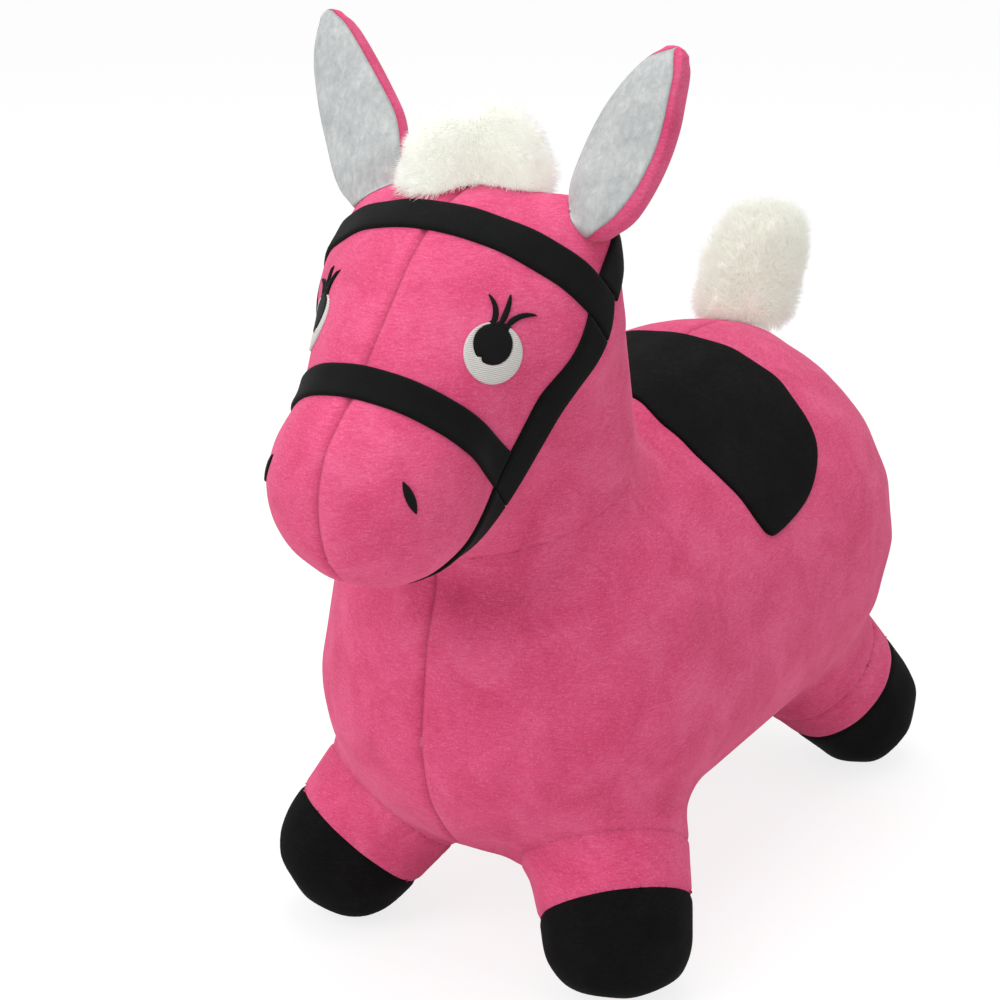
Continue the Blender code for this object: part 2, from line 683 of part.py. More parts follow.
def make_valve(seat, finishes):
    """Eyelet in the cover, seat welded into the bladder, and the push-in plug."""
    base, up = valve_seat_place(seat)
    print("plug slides along", tuple(round(value, 6) for value in -up))
    sleeve = EYELET_HOLE_RADIUS - FIT_GAP
    inner = sleeve - EYELET_THICKNESS
    rim = EYELET_HOLE_RADIUS + EYELET_RIM_WIDTH
    low, high = -FIT_GAP - EYELET_THICKNESS, COVER_THICKNESS - FIT_GAP
    eyelet = [(inner, low), (rim, low), (rim, -FIT_GAP), (sleeve, -FIT_GAP), (sleeve, high), (inner, high)]
    add_object("valve_eyelet", turned(eyelet, base, up), finishes["rubber"])
    top = COVER_THICKNESS
    flange = [
        (SEAT_BORE_RADIUS, top - SEAT_FLANGE_THICKNESS), (SEAT_FLANGE_RADIUS, top - SEAT_FLANGE_THICKNESS),
        (SEAT_FLANGE_RADIUS, top), (SEAT_TUBE_RADIUS, top), (SEAT_TUBE_RADIUS, SEAT_TUBE_HEIGHT),
        (SEAT_BORE_RADIUS, SEAT_TUBE_HEIGHT),
    ]
    add_object("valve_seat", turned(flange, base, up), finishes["vinyl"])
    under = top - SEAT_FLANGE_THICKNESS - FIT_GAP
    stem = SEAT_BORE_RADIUS - PLUG_GAP
    rib = stem - PLUG_GAP
    plug = [
        (0, under - PLUG_HEAD_THICKNESS), (PLUG_HEAD_RADIUS, under - PLUG_HEAD_THICKNESS),
        (PLUG_HEAD_RADIUS, under), (stem, under), (stem, PLUG_STEM_LENGTH * PLUG_RIB_SHARE),
        (rib, PLUG_STEM_LENGTH * PLUG_RIB_SHARE), (PLUG_TIP_RADIUS, PLUG_STEM_LENGTH), (0, PLUG_STEM_LENGTH),
    ]
    add_object("air_plug", turned(plug, base, up), finishes["rubber"], base)


def zip_place(seat):
    """The zip's own frame: it starts at the front end, Y runs back along the belly, Z points into it."""
    points = [belly(seat, ZIP_FRONT_Y + ZIP_LENGTH * k / ZIP_CHECKS) for k in range(ZIP_CHECKS + 1)]
    slope = math.atan2(points[-1].z - points[0].z, points[-1].y - points[0].y)
    below = min(point.z - points[0].z - math.tan(slope) * (point.y - points[0].y) for point in points)
    return Matrix.Translation(points[0] + Vector((0, 0, below))) @ Matrix.Rotation(slope, 4, "X")


def zip_slot(seat):
    """The opening along the belly that the zip closes."""
    slot = block((0, ZIP_LENGTH / 2, 0),
                 (2 * (TAPE_WIDTH + FIT_GAP), ZIP_LENGTH + 2 * FIT_GAP, 2 * SEAT_TUBE_HEIGHT))
    slot.transform(zip_place(seat))
    return slot


def comb(side, length):
    """One row of zip teeth from above: a rail with teeth that reach across the middle."""
    inner = RAIL_OFFSET
    outer = RAIL_OFFSET + RAIL_WIDTH
    tooth = TOOTH_PITCH / 2 - FIT_GAP
    start = 0 if side > 0 else TOOTH_PITCH / 2
    points = [(side * outer, 0)]
    if start > 0:
        points.append((side * inner, 0))
    count = int((length - start - tooth) / TOOTH_PITCH) + 1
    for k in range(count):
        low = start + k * TOOTH_PITCH
        high = low + tooth
        tip = side * (inner - TOOTH_REACH)
        points += [(side * inner, low), (tip, low), (tip, high), (side * inner, high)]
    if points[1] == points[0]:
        points.pop(0)
    points += [(side * inner, length), (side * outer, length)]
    return points


def make_zip(seat, finishes):
    """The closed zip under the belly, with its slider at the front end."""
    place = zip_place(seat)
    tape_low = TAPE_DEPTH
    teeth_high = tape_low - FIT_GAP
    teeth_low = teeth_high - TOOTH_THICKNESS
    row_length = ZIP_LENGTH - 2 * (STOP_LENGTH + FIT_GAP)
    row_start = STOP_LENGTH + FIT_GAP
    rail = RAIL_OFFSET + RAIL_WIDTH

    def add(name, mesh, finish, origin=(0, 0, 0)):
        mesh.transform(place)
        add_object(name, mesh, finish, origin)

    for name, side in (("left", 1), ("right", -1)):
        width = TAPE_WIDTH - FIT_GAP / 2
        centre = (side * (TAPE_WIDTH + FIT_GAP / 2) / 2, ZIP_LENGTH / 2, tape_low + TAPE_THICKNESS / 2)
        add(f"zip_tape_{name}", block(centre, (width, ZIP_LENGTH, TAPE_THICKNESS)), finishes["tape"])
        row = Matrix.Translation((0, row_start, teeth_low))
        teeth = extruded(comb(side, row_length), row, TOOTH_THICKNESS)
        add(f"zip_teeth_{name}", teeth, finishes["nylon"])
    for name, y in (("front", STOP_LENGTH / 2), ("rear", ZIP_LENGTH - STOP_LENGTH / 2)):
        stop = block((0, y, (teeth_low + teeth_high) / 2), (2 * rail, STOP_LENGTH, TOOTH_THICKNESS))
        add(f"zip_stop_{name}", stop, finishes["nylon"])

    middle = row_start + SLIDER_START + SLIDER_LENGTH / 2
    inner = rail + SLIDER_GAP
    plate_high = teeth_low - SLIDER_GAP
    plate_low = plate_high - SLIDER_WALL
    body = block((0, middle, (plate_high + plate_low) / 2),
                 (2 * (inner + SLIDER_WALL), SLIDER_LENGTH, SLIDER_WALL))
    for side in (1, -1):
        centre = (side * (inner + SLIDER_WALL / 2), middle, (plate_low + teeth_high) / 2)
        body = fused(body, block(centre, (SLIDER_WALL, SLIDER_LENGTH, teeth_high - plate_low)))
    lug_top = plate_high - SLIDER_WALL / 2
    lug_low = plate_low - LUG_HEIGHT
    lug = block((0, middle, (lug_top + lug_low) / 2), (LUG_WIDTH, LUG_LENGTH, lug_top - lug_low))
    pivot = Vector((0, middle, lug_low + LUG_HEIGHT / 2))
    hinge = place @ pivot
    bore = rod(pivot - Vector((LUG_WIDTH, 0, 0)), (1, 0, 0), PULL_PIN_RADIUS + PULL_PIN_GAP, 2 * LUG_WIDTH,
               PIN_SIDES)
    add("zip_slider", drop(fused(body, lug), bore), finishes["metal"], hinge)

    arm_x = LUG_WIDTH / 2 + FIT_GAP + PULL_ARM_WIDTH / 2
    half_width = arm_x + PULL_ARM_WIDTH / 2
    pull = rod(pivot - Vector((half_width, 0, 0)), (1, 0, 0), PULL_PIN_RADIUS, 2 * half_width, PIN_SIDES)
    arm_length = LUG_HEIGHT + PULL_THICKNESS
    for side in (1, -1):
        centre = pivot + Vector((side * arm_x, 0, PULL_THICKNESS - arm_length / 2))
        pull = fused(pull, block(centre, (PULL_ARM_WIDTH, PULL_THICKNESS, arm_length)))
    tab_high = PULL_THICKNESS - arm_length + PULL_OVERLAP
    tab = block(pivot + Vector((0, 0, (tab_high - PULL_LENGTH) / 2)),
                (2 * half_width + PULL_OVERLAP, PULL_THICKNESS + PULL_OVERLAP, tab_high + PULL_LENGTH))
    add("zip_pull", fused(pull, tab), finishes["metal"], hinge)
    print("zip slides along", tuple(round(value, 6) for value in place.to_3x3() @ Vector((0, 1, 0))))


def lean(angle):
    """The direction in the animal's middle plane that leans forward of straight down by an angle."""
    return Vector((0, -math.sin(angle), -math.cos(angle)))


def strap_plane(angle):
    """The front-facing normal of a strap that runs along lean(angle)."""
    return Vector((0, -math.cos(angle), math.sin(angle)))


def make_bridle(skin, finishes):
    """Browband, noseband, cheek, chin and crown straps, each a band of the skin laid over the head."""
    neck, up = seam_planes()
    head = keep(skin, beyond(neck + up * STRAP_WIDTH / 2, up))
    joint = Vector((0, BRIDLE_JOINT_Y, BRIDLE_JOINT_Z))
    cheek, brow, nose, crown = (strap_plane(angle)
                                for angle in (CHEEK_LEAN, BROWBAND_LEAN, NOSEBAND_LEAN, CROWN_LEAN))
    down = lean(CHEEK_LEAN)
    nose_joint = joint + down * (NOSEBAND_JOINT_Z - BRIDLE_JOINT_Z) / down.z
    half_strap = STRAP_WIDTH / 2
    half_brow = BROWBAND_WIDTH / 2

    cheek_band = keep(head, slab(joint, cheek, STRAP_WIDTH))
    lower_edge = nose_joint + nose * half_strap
    cheeks = keep(cheek_band, beyond(joint + brow * (half_brow + FIT_GAP), brow), beyond(lower_edge, -nose))
    chin = keep(cheek_band, beyond(lower_edge + nose * FIT_GAP, nose))
    noseband = keep(head, slab(nose_joint, nose, STRAP_WIDTH),
                    beyond(joint + cheek * (half_strap + FIT_GAP), cheek))
    browband = keep(head, slab(joint, brow, BROWBAND_WIDTH), beyond(joint - cheek * half_strap, cheek))
    crown_strap = keep(head, slab(joint, crown, STRAP_WIDTH),
                       beyond(joint - brow * (half_brow + FIT_GAP), -brow))
    for name, side in (("left", 1), ("right", -1)):
        add_object(f"cheek_strap_{name}", keep(cheeks, beyond((0, 0, 0), (side, 0, 0))), finishes["webbing"])
    add_object("chin_strap", chin, finishes["webbing"])
    add_object("noseband", noseband, finishes["webbing"])
    add_object("browband", browband, finishes["webbing"])
    add_object("crown_strap", crown_strap, finishes["webbing"])


def rounded(points, steps):
    """A smooth closed line through points, with so many steps from each to the next."""
    smooth = []
    count = len(points)
    for k in range(count):
        before, start, end, after = (Vector(points[(k + j) % count]) for j in (-1, 0, 1, 2))
        for step in range(steps):
            t = step / steps
            bend = (end - before) * t + (2 * before - 5 * start + 4 * end - after) * t ** 2
            bend += (3 * start - 3 * end + after - before) * t ** 3
            smooth.append(start + bend / 2)
    return smooth


def wrapped_prism(outline, core_z, inner, outer):
    """A cutter wrapped round the barrel: an outline of (turn from the spine, place along Y) pairs."""
    shape = bmesh.new()
    loops = []
    for radius in (inner, outer):
        loops.append([shape.verts.new((radius * math.sin(turn), y, core_z + radius * math.cos(turn)))
                      for turn, y in outline])
    near, far = loops
    count = len(outline)
    for k in range(count):
        after = (k + 1) % count
        shape.faces.new((near[k], near[after], far[after]))
        shape.faces.new((near[k], far[after], far[k]))
    middle = (outline[0][1] + outline[count // 2][1]) / 2
    for loop, radius in zip(loops, (inner, outer)):
        hub = shape.verts.new((0, middle, core_z + radius))
        for k in range(count):
            shape.faces.new((hub, loop[k], loop[(k + 1) % count]))
    bmesh.ops.recalc_face_normals(shape, faces=shape.faces)
    return from_bmesh(shape)


def make_saddle(skin, finishes):
    """The black patch over the back, with a flap down each flank."""
    half = [(turn * SADDLE_DROP, SADDLE_REAR_Y - place * SADDLE_LENGTH) for turn, place in SADDLE_SHARES]
    outline = rounded(half + [(-turn, y) for turn, y in reversed(half) if turn > 0], SADDLE_STEPS)
    inner, outer = (BARREL_HEIGHT / 2 * share for share in SADDLE_CUT_SHARES)
    cutter = wrapped_prism(outline, SADDLE_CORE_Z, inner, outer)
    add_object("saddle_patch", keep(skin, cutter), finishes["black plush"])


def face_frame(point, normal, spin):
    """A frame on the face: X across, Y up the face, Z out along the normal, turned by spin."""
    up = (Vector((0, 0, 1)) - normal * normal.z).normalized()
    across = up.cross(normal)
    turn = Matrix((across, up, normal)).transposed().to_4x4()
    return Matrix.Translation(point) @ turn @ Matrix.Rotation(spin, 4, "Z")


def on_circle(radius, turn):
    """A point on a circle about the eye's middle."""
    return Vector((radius * math.cos(turn), radius * math.sin(turn)))


def lash(base, angle, bend, length):
    """The outline of one curved, tapering lash from its base."""
    left, right = [], []
    for share, width_share in LASH_SHARES:
        heading = angle + bend * share
        middle = on_circle(length * share, heading)
        across = on_circle(LASH_WIDTH * width_share / 2, heading + math.pi / 2)
        left.append(base + middle + across)
        right.append(base + middle - across)
    return left + right[::-1]


def lashes_outline():
    """The lashes and the stitched line over the eye that they grow from, as one outline."""
    inner = EYE_RADIUS + FIT_GAP
    outer = inner + LID_WIDTH
    places = [row[0] for row in LASH_ANGLES]
    first, last = places[0] + LID_OVERRUN, places[-1] - LID_OVERRUN
    turns = [last + (first - last) * k / LID_STEPS for k in range(LID_STEPS + 1)]
    points = [on_circle(inner, turn) for turn in turns] + [on_circle(outer, first)]
    for k, (place, angle, bend) in enumerate(LASH_ANGLES):
        if k > 0:
            points.append(on_circle(outer, (places[k - 1] + place) / 2))
        points += lash(on_circle(outer, place), angle, bend, LASH_LENGTH * LASH_LENGTH_SHARES[k])
    return points + [on_circle(outer, last)]


def make_eye(skin, seat, finishes, name, side):
    """One embroidered eye: a white ring, an off-centre pupil, and lashes on a stitched line."""
    point = seat.find((side * EYE_X, 0, EYE_Z), (0, 1, 0))[0]
    normal = Vector((side * math.sin(EYE_TURN), -math.cos(EYE_TURN), math.sin(EYE_TIP))).normalized()
    behind = face_frame(point, normal, 0) @ Matrix.Translation((0, 0, -EYE_RADIUS))

    def disc(radius, rise):
        return rod(behind @ Vector((0, rise, 0)), normal, radius, 2 * EYE_RADIUS, EYE_SIDES)

    ring = drop(keep(skin, disc(EYE_RADIUS, 0)), disc(PUPIL_RADIUS + FIT_GAP, PUPIL_RISE))
    add_object(f"eye_white_{name}", ring, finishes["white thread"])
    add_object(f"pupil_{name}", keep(skin, disc(PUPIL_RADIUS, PUPIL_RISE)), finishes["black thread"])
    outward = behind @ Matrix.Diagonal((side, 1, 1, 1))
    lashes = keep(skin, extruded(lashes_outline(), outward, 2 * EYE_RADIUS))
    add_object(f"lashes_{name}", lashes, finishes["black thread"])


def make_nostril(skin, seat, finishes, name, side):
    """One embroidered nostril, a slanted oval on the muzzle."""
    point, normal = seat.find((side * NOSTRIL_X, 0, NOSTRIL_Z), (0, 1, 0))
    frame = face_frame(point, normal, side * NOSTRIL_SLANT)
    spot = rod(frame @ Vector((0, 0, -NOSTRIL_HEIGHT)), normal, NOSTRIL_HEIGHT / 2, 2 * NOSTRIL_HEIGHT,
               NOSTRIL_SIDES)
    squeeze = Matrix.Diagonal((NOSTRIL_WIDTH / NOSTRIL_HEIGHT, 1, 1, 1))
    spot.transform(frame @ squeeze @ frame.inverted())
    add_object(f"nostril_{name}", keep(skin, spot), finishes["black thread"])


def make_face(skin, seat, finishes):
    """The embroidery on both sides of the face, cut from a thin skin laid on it."""
    for name, side in (("left", 1), ("right", -1)):
        make_eye(skin, seat, finishes, name, side)
        make_nostril(skin, seat, finishes, name, side)


def ear_form(hinge, root_axes, leaf_axes, inset):
    """The ear's pillow shape drawn in by a distance: a round root about the hinge, a leaf above it."""
    root_across, root_front, root_up = root_axes
    across, front, along = leaf_axes
    root = EAR_ROOT_RADIUS - inset
    root_width = EAR_WIDTH / 2 * EAR_SHARES[0][1] - inset
    rings = []
    for dip in EAR_ROOT_DIPS:
        depth = root * math.cos(dip)
        reach = root_width * math.cos(dip) ** EAR_ROOT_SQUARENESS
        rings.append((hinge - root_up * root * math.sin(dip), reach, depth, depth, root_across, root_front))
    for place, width, front_share, back_share in EAR_SHARES:
        blend = min(1.0, place / EAR_TWIST_SHARE)
        fore = root if place == 0 else EAR_FRONT_DEPTH * front_share - inset
        aft = root if place == 0 else EAR_BACK_DEPTH * back_share - inset
        sideways = root_across.lerp(across, blend).normalized()
        forward = root_front.lerp(front, blend).normalized()
        middle = hinge + along * place * EAR_LENGTH
        rings.append((middle, EAR_WIDTH / 2 * width - inset, fore, aft, sideways, forward))
    loops = []
    for middle, reach, fore, aft, sideways, forward in rings:
        loop = []
        for k in range(EAR_SIDES):
            angle = math.tau * k / EAR_SIDES
            depth = fore if math.sin(angle) > 0 else aft
            loop.append(middle + sideways * reach * math.cos(angle) + forward * depth * math.sin(angle))
        loops.append(loop)
    return lofted(loops, hinge - root_up * root, hinge + along * (EAR_LENGTH - inset))


def make_ears(seat, finishes):
    """Each ear: a plush back, a white front, and stuffing between them."""
    left = ("left", 1, LEFT_EAR_LEAN_OUT, LEFT_EAR_TOE_IN)
    right = ("right", -1, RIGHT_EAR_LEAN_OUT, RIGHT_EAR_TOE_IN)
    for name, side, lean_out, toe_in in (left, right):
        point, normal = seat.find((side * EAR_X, EAR_Y, SKULL_Z), (0, 0, -1))
        hinge = point + normal * (EAR_ROOT_RADIUS + FIT_GAP)
        across_root = Vector((normal.z, 0, -normal.x)).normalized()
        along = Vector((side * math.tan(lean_out), math.tan(EAR_LEAN_BACK), 1)).normalized()
        across = Vector((math.cos(toe_in), -side * math.sin(toe_in), 0))
        across = (across - along * across.dot(along)).normalized()
        front = across.cross(along)
        root_axes = (across_root, across_root.cross(normal).normalized(), normal)
        leaf_axes = (across, front, along)
        whole = ear_form(hinge, root_axes, leaf_axes, 0.0)
        hollow = ear_form(hinge, root_axes, leaf_axes, EAR_CLOTH)
        shell = drop(whole, hollow)
        split = hinge + front * EAR_SEAM_DEPTH
        back = keep(shell, beyond(split - front * FIT_GAP / 2, -front))
        lining = keep(shell, beyond(split + front * FIT_GAP / 2, front))
        stuffing = ear_form(hinge, root_axes, leaf_axes, EAR_CLOTH + FIT_GAP)
        add_object(f"ear_back_{name}", back, finishes["plush"], hinge)
        add_object(f"ear_lining_{name}", lining, finishes["white plush"], hinge)
        add_object(f"ear_stuffing_{name}", stuffing, finishes["wadding"], hinge)
        print("ear hinge axis", name, tuple(round(value, 6) for value in across_root))


def make_mane(surface, skin_backing, seat, finishes):
    """The fur tuft between the ears and the strip that it is sewn to."""
    crown = seat.crest(MANE_Y, SKULL_Z)[0]
    backing = rod((0, 0, crown.z - MANE_HEIGHT), (0, 0, 1), 1, 2 * MANE_HEIGHT)
    half_width, half_length = MANE_WIDTH / 2 * BACKING_SHARE, MANE_LENGTH / 2 * BACKING_SHARE
    backing.transform(Matrix.Translation((0, MANE_Y, 0)) @ Matrix.Diagonal((half_width, half_length, 1, 1)))
    add_object("mane_backing", keep(skin_backing, backing), finishes["white plush"])
    mound = swelling(0, MANE_Y, crown.z, MANE_WIDTH, MANE_LENGTH, 2 * MANE_HEIGHT)
    clear = offset(surface, 2 * FIT_GAP + STRAP_THICKNESS)
    add_object("mane_tuft", drop(mound, clear), finishes["fur"])


def make_tail(skin_backing, seat, finishes):
    """The tail: a sewn patch, a cloth core, and the fur round it."""
    root, normal = seat.crest(TAIL_Y, RUMP_Z)
    patch = rod(root - normal * TAIL_PATCH_RADIUS, normal, TAIL_PATCH_RADIUS, 2 * TAIL_PATCH_RADIUS)
    add_object("tail_patch", keep(skin_backing, patch), finishes["plush"])
    hinge = root + normal * (TAIL_ROOT_RADIUS + BACKING_THICKNESS + 2 * FIT_GAP)
    up = -lean(TAIL_LEAN)
    root_radius = TAIL_ROOT_RADIUS
    dome = [(root_radius * math.sin(turn), -root_radius * math.cos(turn)) for turn in DOME_ANGLES]
    core = [(0, -root_radius)] + dome + [(TAIL_CORE_TIP_RADIUS, TAIL_CORE_LENGTH), (0, TAIL_CORE_LENGTH)]
    add_object("tail_core", turned(core, hinge, up, sides=TAIL_CORE_SIDES), finishes["plush"], hinge)
    bore = [(TAIL_ROOT_RADIUS + FIT_GAP, TAIL_FUR_START_SHARE * TAIL_LENGTH),
            (TAIL_CORE_TIP_RADIUS + FIT_GAP, TAIL_CORE_LENGTH + FIT_GAP), (0, TAIL_CORE_LENGTH + FIT_GAP)]
    outer = [(TAIL_WIDTH / 2 * width, TAIL_LENGTH * place) for place, width in TAIL_SHARES]
    fur = bore + [(0, TAIL_LENGTH)] + outer
    add_object("tail_tuft", turned(fur, hinge, up, sides=TAIL_FUR_SIDES), finishes["fur"], hinge)


def make_finishes():
    """The plain colours of every material."""
    return {
        "plush": material("pink plush", (0.76, 0.09, 0.24), 0.95),
        "black plush": material("black plush", (0.008, 0.008, 0.009), 0.95),
        "white plush": material("white plush", (0.80, 0.80, 0.82), 0.95),
        "webbing": material("black strap", (0.010, 0.010, 0.011), 0.85),
        "vinyl": material("soft vinyl", (0.55, 0.20, 0.28), 0.35),
        "rubber": material("white rubber", (0.70, 0.70, 0.68), 0.5),
        "white thread": material("white embroidery thread", (0.75, 0.75, 0.74), 0.6),
        "black thread": material("black embroidery thread", (0.01, 0.01, 0.01), 0.6),
        "fur": material("long white fur", (0.82, 0.82, 0.76), 0.9),
        "wadding": material("polyester wadding", (0.85, 0.85, 0.85), 1.0),
        "tape": material("pink zip tape", (0.60, 0.06, 0.18), 0.9),
        "nylon": material("pink nylon teeth", (0.55, 0.05, 0.16), 0.4),
        "metal": material("nickel plate", (0.60, 0.60, 0.62), 0.3, 1.0),
    }


def centre_over_origin():
    """Move every piece so that the middle of the outer box stands over the origin."""
    pieces = list(bpy.data.objects)
    reach = [piece.location.y + vertex.co.y for piece in pieces for vertex in piece.data.vertices]
    for piece in pieces:
        piece.location.y -= (min(reach) + max(reach)) / 2
    for name in ("ear_back_left", "ear_back_right", "tail_core", "zip_pull", "air_plug"):
        print(name, "turns or slides at", tuple(round(value, 6) for value in bpy.data.objects[name].location))


def main():
    """Clear the scene and build every piece."""
    for thing in list(bpy.data.objects):
        bpy.data.objects.remove(thing)
    finishes = make_finishes()
    surface = body_surface()
    seat = Seat(surface)
    make_cover(surface, seat, finishes)
    make_bladder(surface, seat, finishes)
    make_valve(seat, finishes)
    make_zip(seat, finishes)
    strap_skin = layer(surface, FIT_GAP + STRAP_THICKNESS, FIT_GAP)
    make_bridle(strap_skin, finishes)
    make_saddle(layer(surface, FIT_GAP + PATCH_THICKNESS, FIT_GAP), finishes)
    make_face(layer(surface, FIT_GAP + EMBROIDERY_THICKNESS, FIT_GAP), seat, finishes)
    backing_skin = layer(surface, FIT_GAP + BACKING_THICKNESS, FIT_GAP)
    make_mane(surface, backing_skin, seat, finishes)
    make_tail(backing_skin, seat, finishes)
    make_ears(seat, finishes)
    centre_over_origin()


main()
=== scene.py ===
# %% [markdown]
# # A bouncy ride-on horse
# The real thing is a vinyl bladder, blown up hard inside a tight cover of short-pile plush.
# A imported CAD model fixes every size, place and joint. This lesson dresses it: each cell says what the
# real piece is, how it could be made in Blender, and why this way was chosen.

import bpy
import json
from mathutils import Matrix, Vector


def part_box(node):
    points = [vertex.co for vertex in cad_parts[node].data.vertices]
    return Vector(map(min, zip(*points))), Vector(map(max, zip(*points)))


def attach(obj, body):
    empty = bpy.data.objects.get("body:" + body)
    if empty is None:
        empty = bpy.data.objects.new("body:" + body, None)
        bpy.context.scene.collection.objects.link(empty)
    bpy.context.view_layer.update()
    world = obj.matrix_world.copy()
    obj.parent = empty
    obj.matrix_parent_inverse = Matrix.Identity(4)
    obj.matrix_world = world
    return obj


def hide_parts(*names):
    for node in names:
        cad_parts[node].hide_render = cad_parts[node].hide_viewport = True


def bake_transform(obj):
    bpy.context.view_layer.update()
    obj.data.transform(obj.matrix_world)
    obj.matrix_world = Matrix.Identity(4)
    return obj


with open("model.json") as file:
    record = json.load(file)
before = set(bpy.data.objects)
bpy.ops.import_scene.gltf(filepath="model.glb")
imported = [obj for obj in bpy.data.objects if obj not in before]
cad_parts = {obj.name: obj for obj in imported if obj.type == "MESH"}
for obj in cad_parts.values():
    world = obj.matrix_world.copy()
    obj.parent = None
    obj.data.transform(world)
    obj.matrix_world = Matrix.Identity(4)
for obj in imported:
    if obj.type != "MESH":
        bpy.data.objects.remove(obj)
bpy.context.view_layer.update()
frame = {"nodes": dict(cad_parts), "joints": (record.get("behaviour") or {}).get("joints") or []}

# %% Modules, units and the one source of random numbers
import json
import math

import bmesh
import bpy
import numpy as np
from mathutils import Matrix, Vector
from mathutils import noise as mathutils_noise
from mathutils.bvhtree import BVHTree
from mathutils.geometry import delaunay_2d_cdt

mm = 0.001
WELD = 1e-7


def joint_place(name):
    """Where the CAD has a joint."""
    return Vector(next(j for j in frame["joints"] if j["name"] == name)["pos_m"])


# The animal faces -Y, and its left side is at +X
SIDES = (("left", 1), ("right", -1))
LEFT, BACK, UP, DOWN = (Vector(way) for way in ((1, 0, 0), (0, 1, 0), (0, 0, 1), (0, 0, -1)))
SEED = 7
dice = np.random.default_rng(SEED)
print("1 mm is", mm, "m, and every random draw comes from seed", SEED)

# %% [markdown]
# ## Colours and nodes
# A dyer's colour card is read in sRGB, but a renderer adds light in linear values, so one function turns
# a hex code into linear RGBA. Materials are small graphs; one function adds a node, sets its options and
# joins its inputs, so that each recipe below reads as a list of steps.


# %% Colour and node helpers
def linear(code):
    """Linear RGBA of an sRGB hex colour such as #E2548A."""
    parts = [int(code[k:k + 2], 16) / 255 for k in (1, 3, 5)]
    return (*(c / 12.92 if c <= 0.04045 else ((c + 0.055) / 1.055) ** 2.4 for c in parts), 1.0)


def feed(node, inputs):
    """Give a node its inputs: values, or sockets to link from."""
    for name, value in inputs.items():
        if isinstance(value, bpy.types.NodeSocket):
            node.id_data.links.new(value, node.inputs[name])
        else:
            node.inputs[name].default_value = value


def add_node(tree, kind, inputs=None, **options):
    """Add a node. Options are its own settings; inputs are values, or sockets to link from."""
    node = tree.nodes.new(kind)
    for name, value in options.items():
        setattr(node, name, value)
    feed(node, inputs or {})
    return node


def new_material(name):
    """A material with its node tree and its Principled shader."""
    made = bpy.data.materials.new(name)
    made.use_nodes = True
    return made, made.node_tree, made.node_tree.nodes["Principled BSDF"]


print("pink plush is", [round(v, 3) for v in linear("#E2548A")])

# %% [markdown]
# ## Plush
# The cover is warp-knitted polyester plush: a knit ground with a pile brushed up and shorn to about 1.5 mm.
# The pile scatters light, so there is no highlight, only a pale bloom where it is seen edge-on: sheen.
# Stroked one way it is lighter, and the other way darker, which gives soft patches some 30 mm across.
# Single fibres are 0.02 mm thick, too fine to show, so the streaks are drawn as coarse as clumps of
# pile, 0.6 mm by 4 mm, and tips that catch the light as flecks of 1 mm. Noise squeezed in height draws
# streaks lying along the body. In a seam the colour is darkened with painted shade, the shadow of its
# crease: "seam" says how much.


# %% Plush recipe
def noise(tree, place, size, detail=3.0, roughness=0.6, **inputs):
    """Noise whose cells are about this large."""
    values = {"Vector": place, "Scale": 1 / size, "Detail": detail, "Roughness": roughness, **inputs}
    return add_node(tree, "ShaderNodeTexNoise", values).outputs["Fac"]


def ramp(tree, factor, *stops):
    """A colour ramp through (position, hex colour) stops."""
    node = add_node(tree, "ShaderNodeValToRGB", {"Fac": factor})
    elements = node.color_ramp.elements
    for element, (position, colour) in zip(elements, (stops[0], stops[-1])):
        element.position, element.color = position, linear(colour)
    for position, colour in stops[1:-1]:
        elements.new(position).color = linear(colour)
    return node.outputs["Color"]


def mixed(tree, factor, first, second, kind="RGBA"):
    """A mix of two colours, or of two values."""
    low, high, out = (6, 7, 2) if kind == "RGBA" else (2, 3, 0)
    return add_node(tree, "ShaderNodeMix", {0: factor, low: first, high: second}, data_type=kind).outputs[out]


def maths(tree, operation, first, second):
    """The result of one sum."""
    return add_node(tree, "ShaderNodeMath", {0: first, 1: second}, operation=operation).outputs[0]


def bump(tree, height, distance, strength):
    """The normals that a height pattern gives."""
    values = {"Height": height, "Distance": distance, "Strength": strength}
    return add_node(tree, "ShaderNodeBump", values).outputs["Normal"]


FLECK = 1.0 * mm
# The last two set the painted shade in the seams: how strong it is, and how dark a share of the dark plush it
# goes to
FLECKS_SHOW, SEAM_PAINTED_SHADE, SEAM_SHADE_DARKNESS = 0.16, 0.38, 0.35


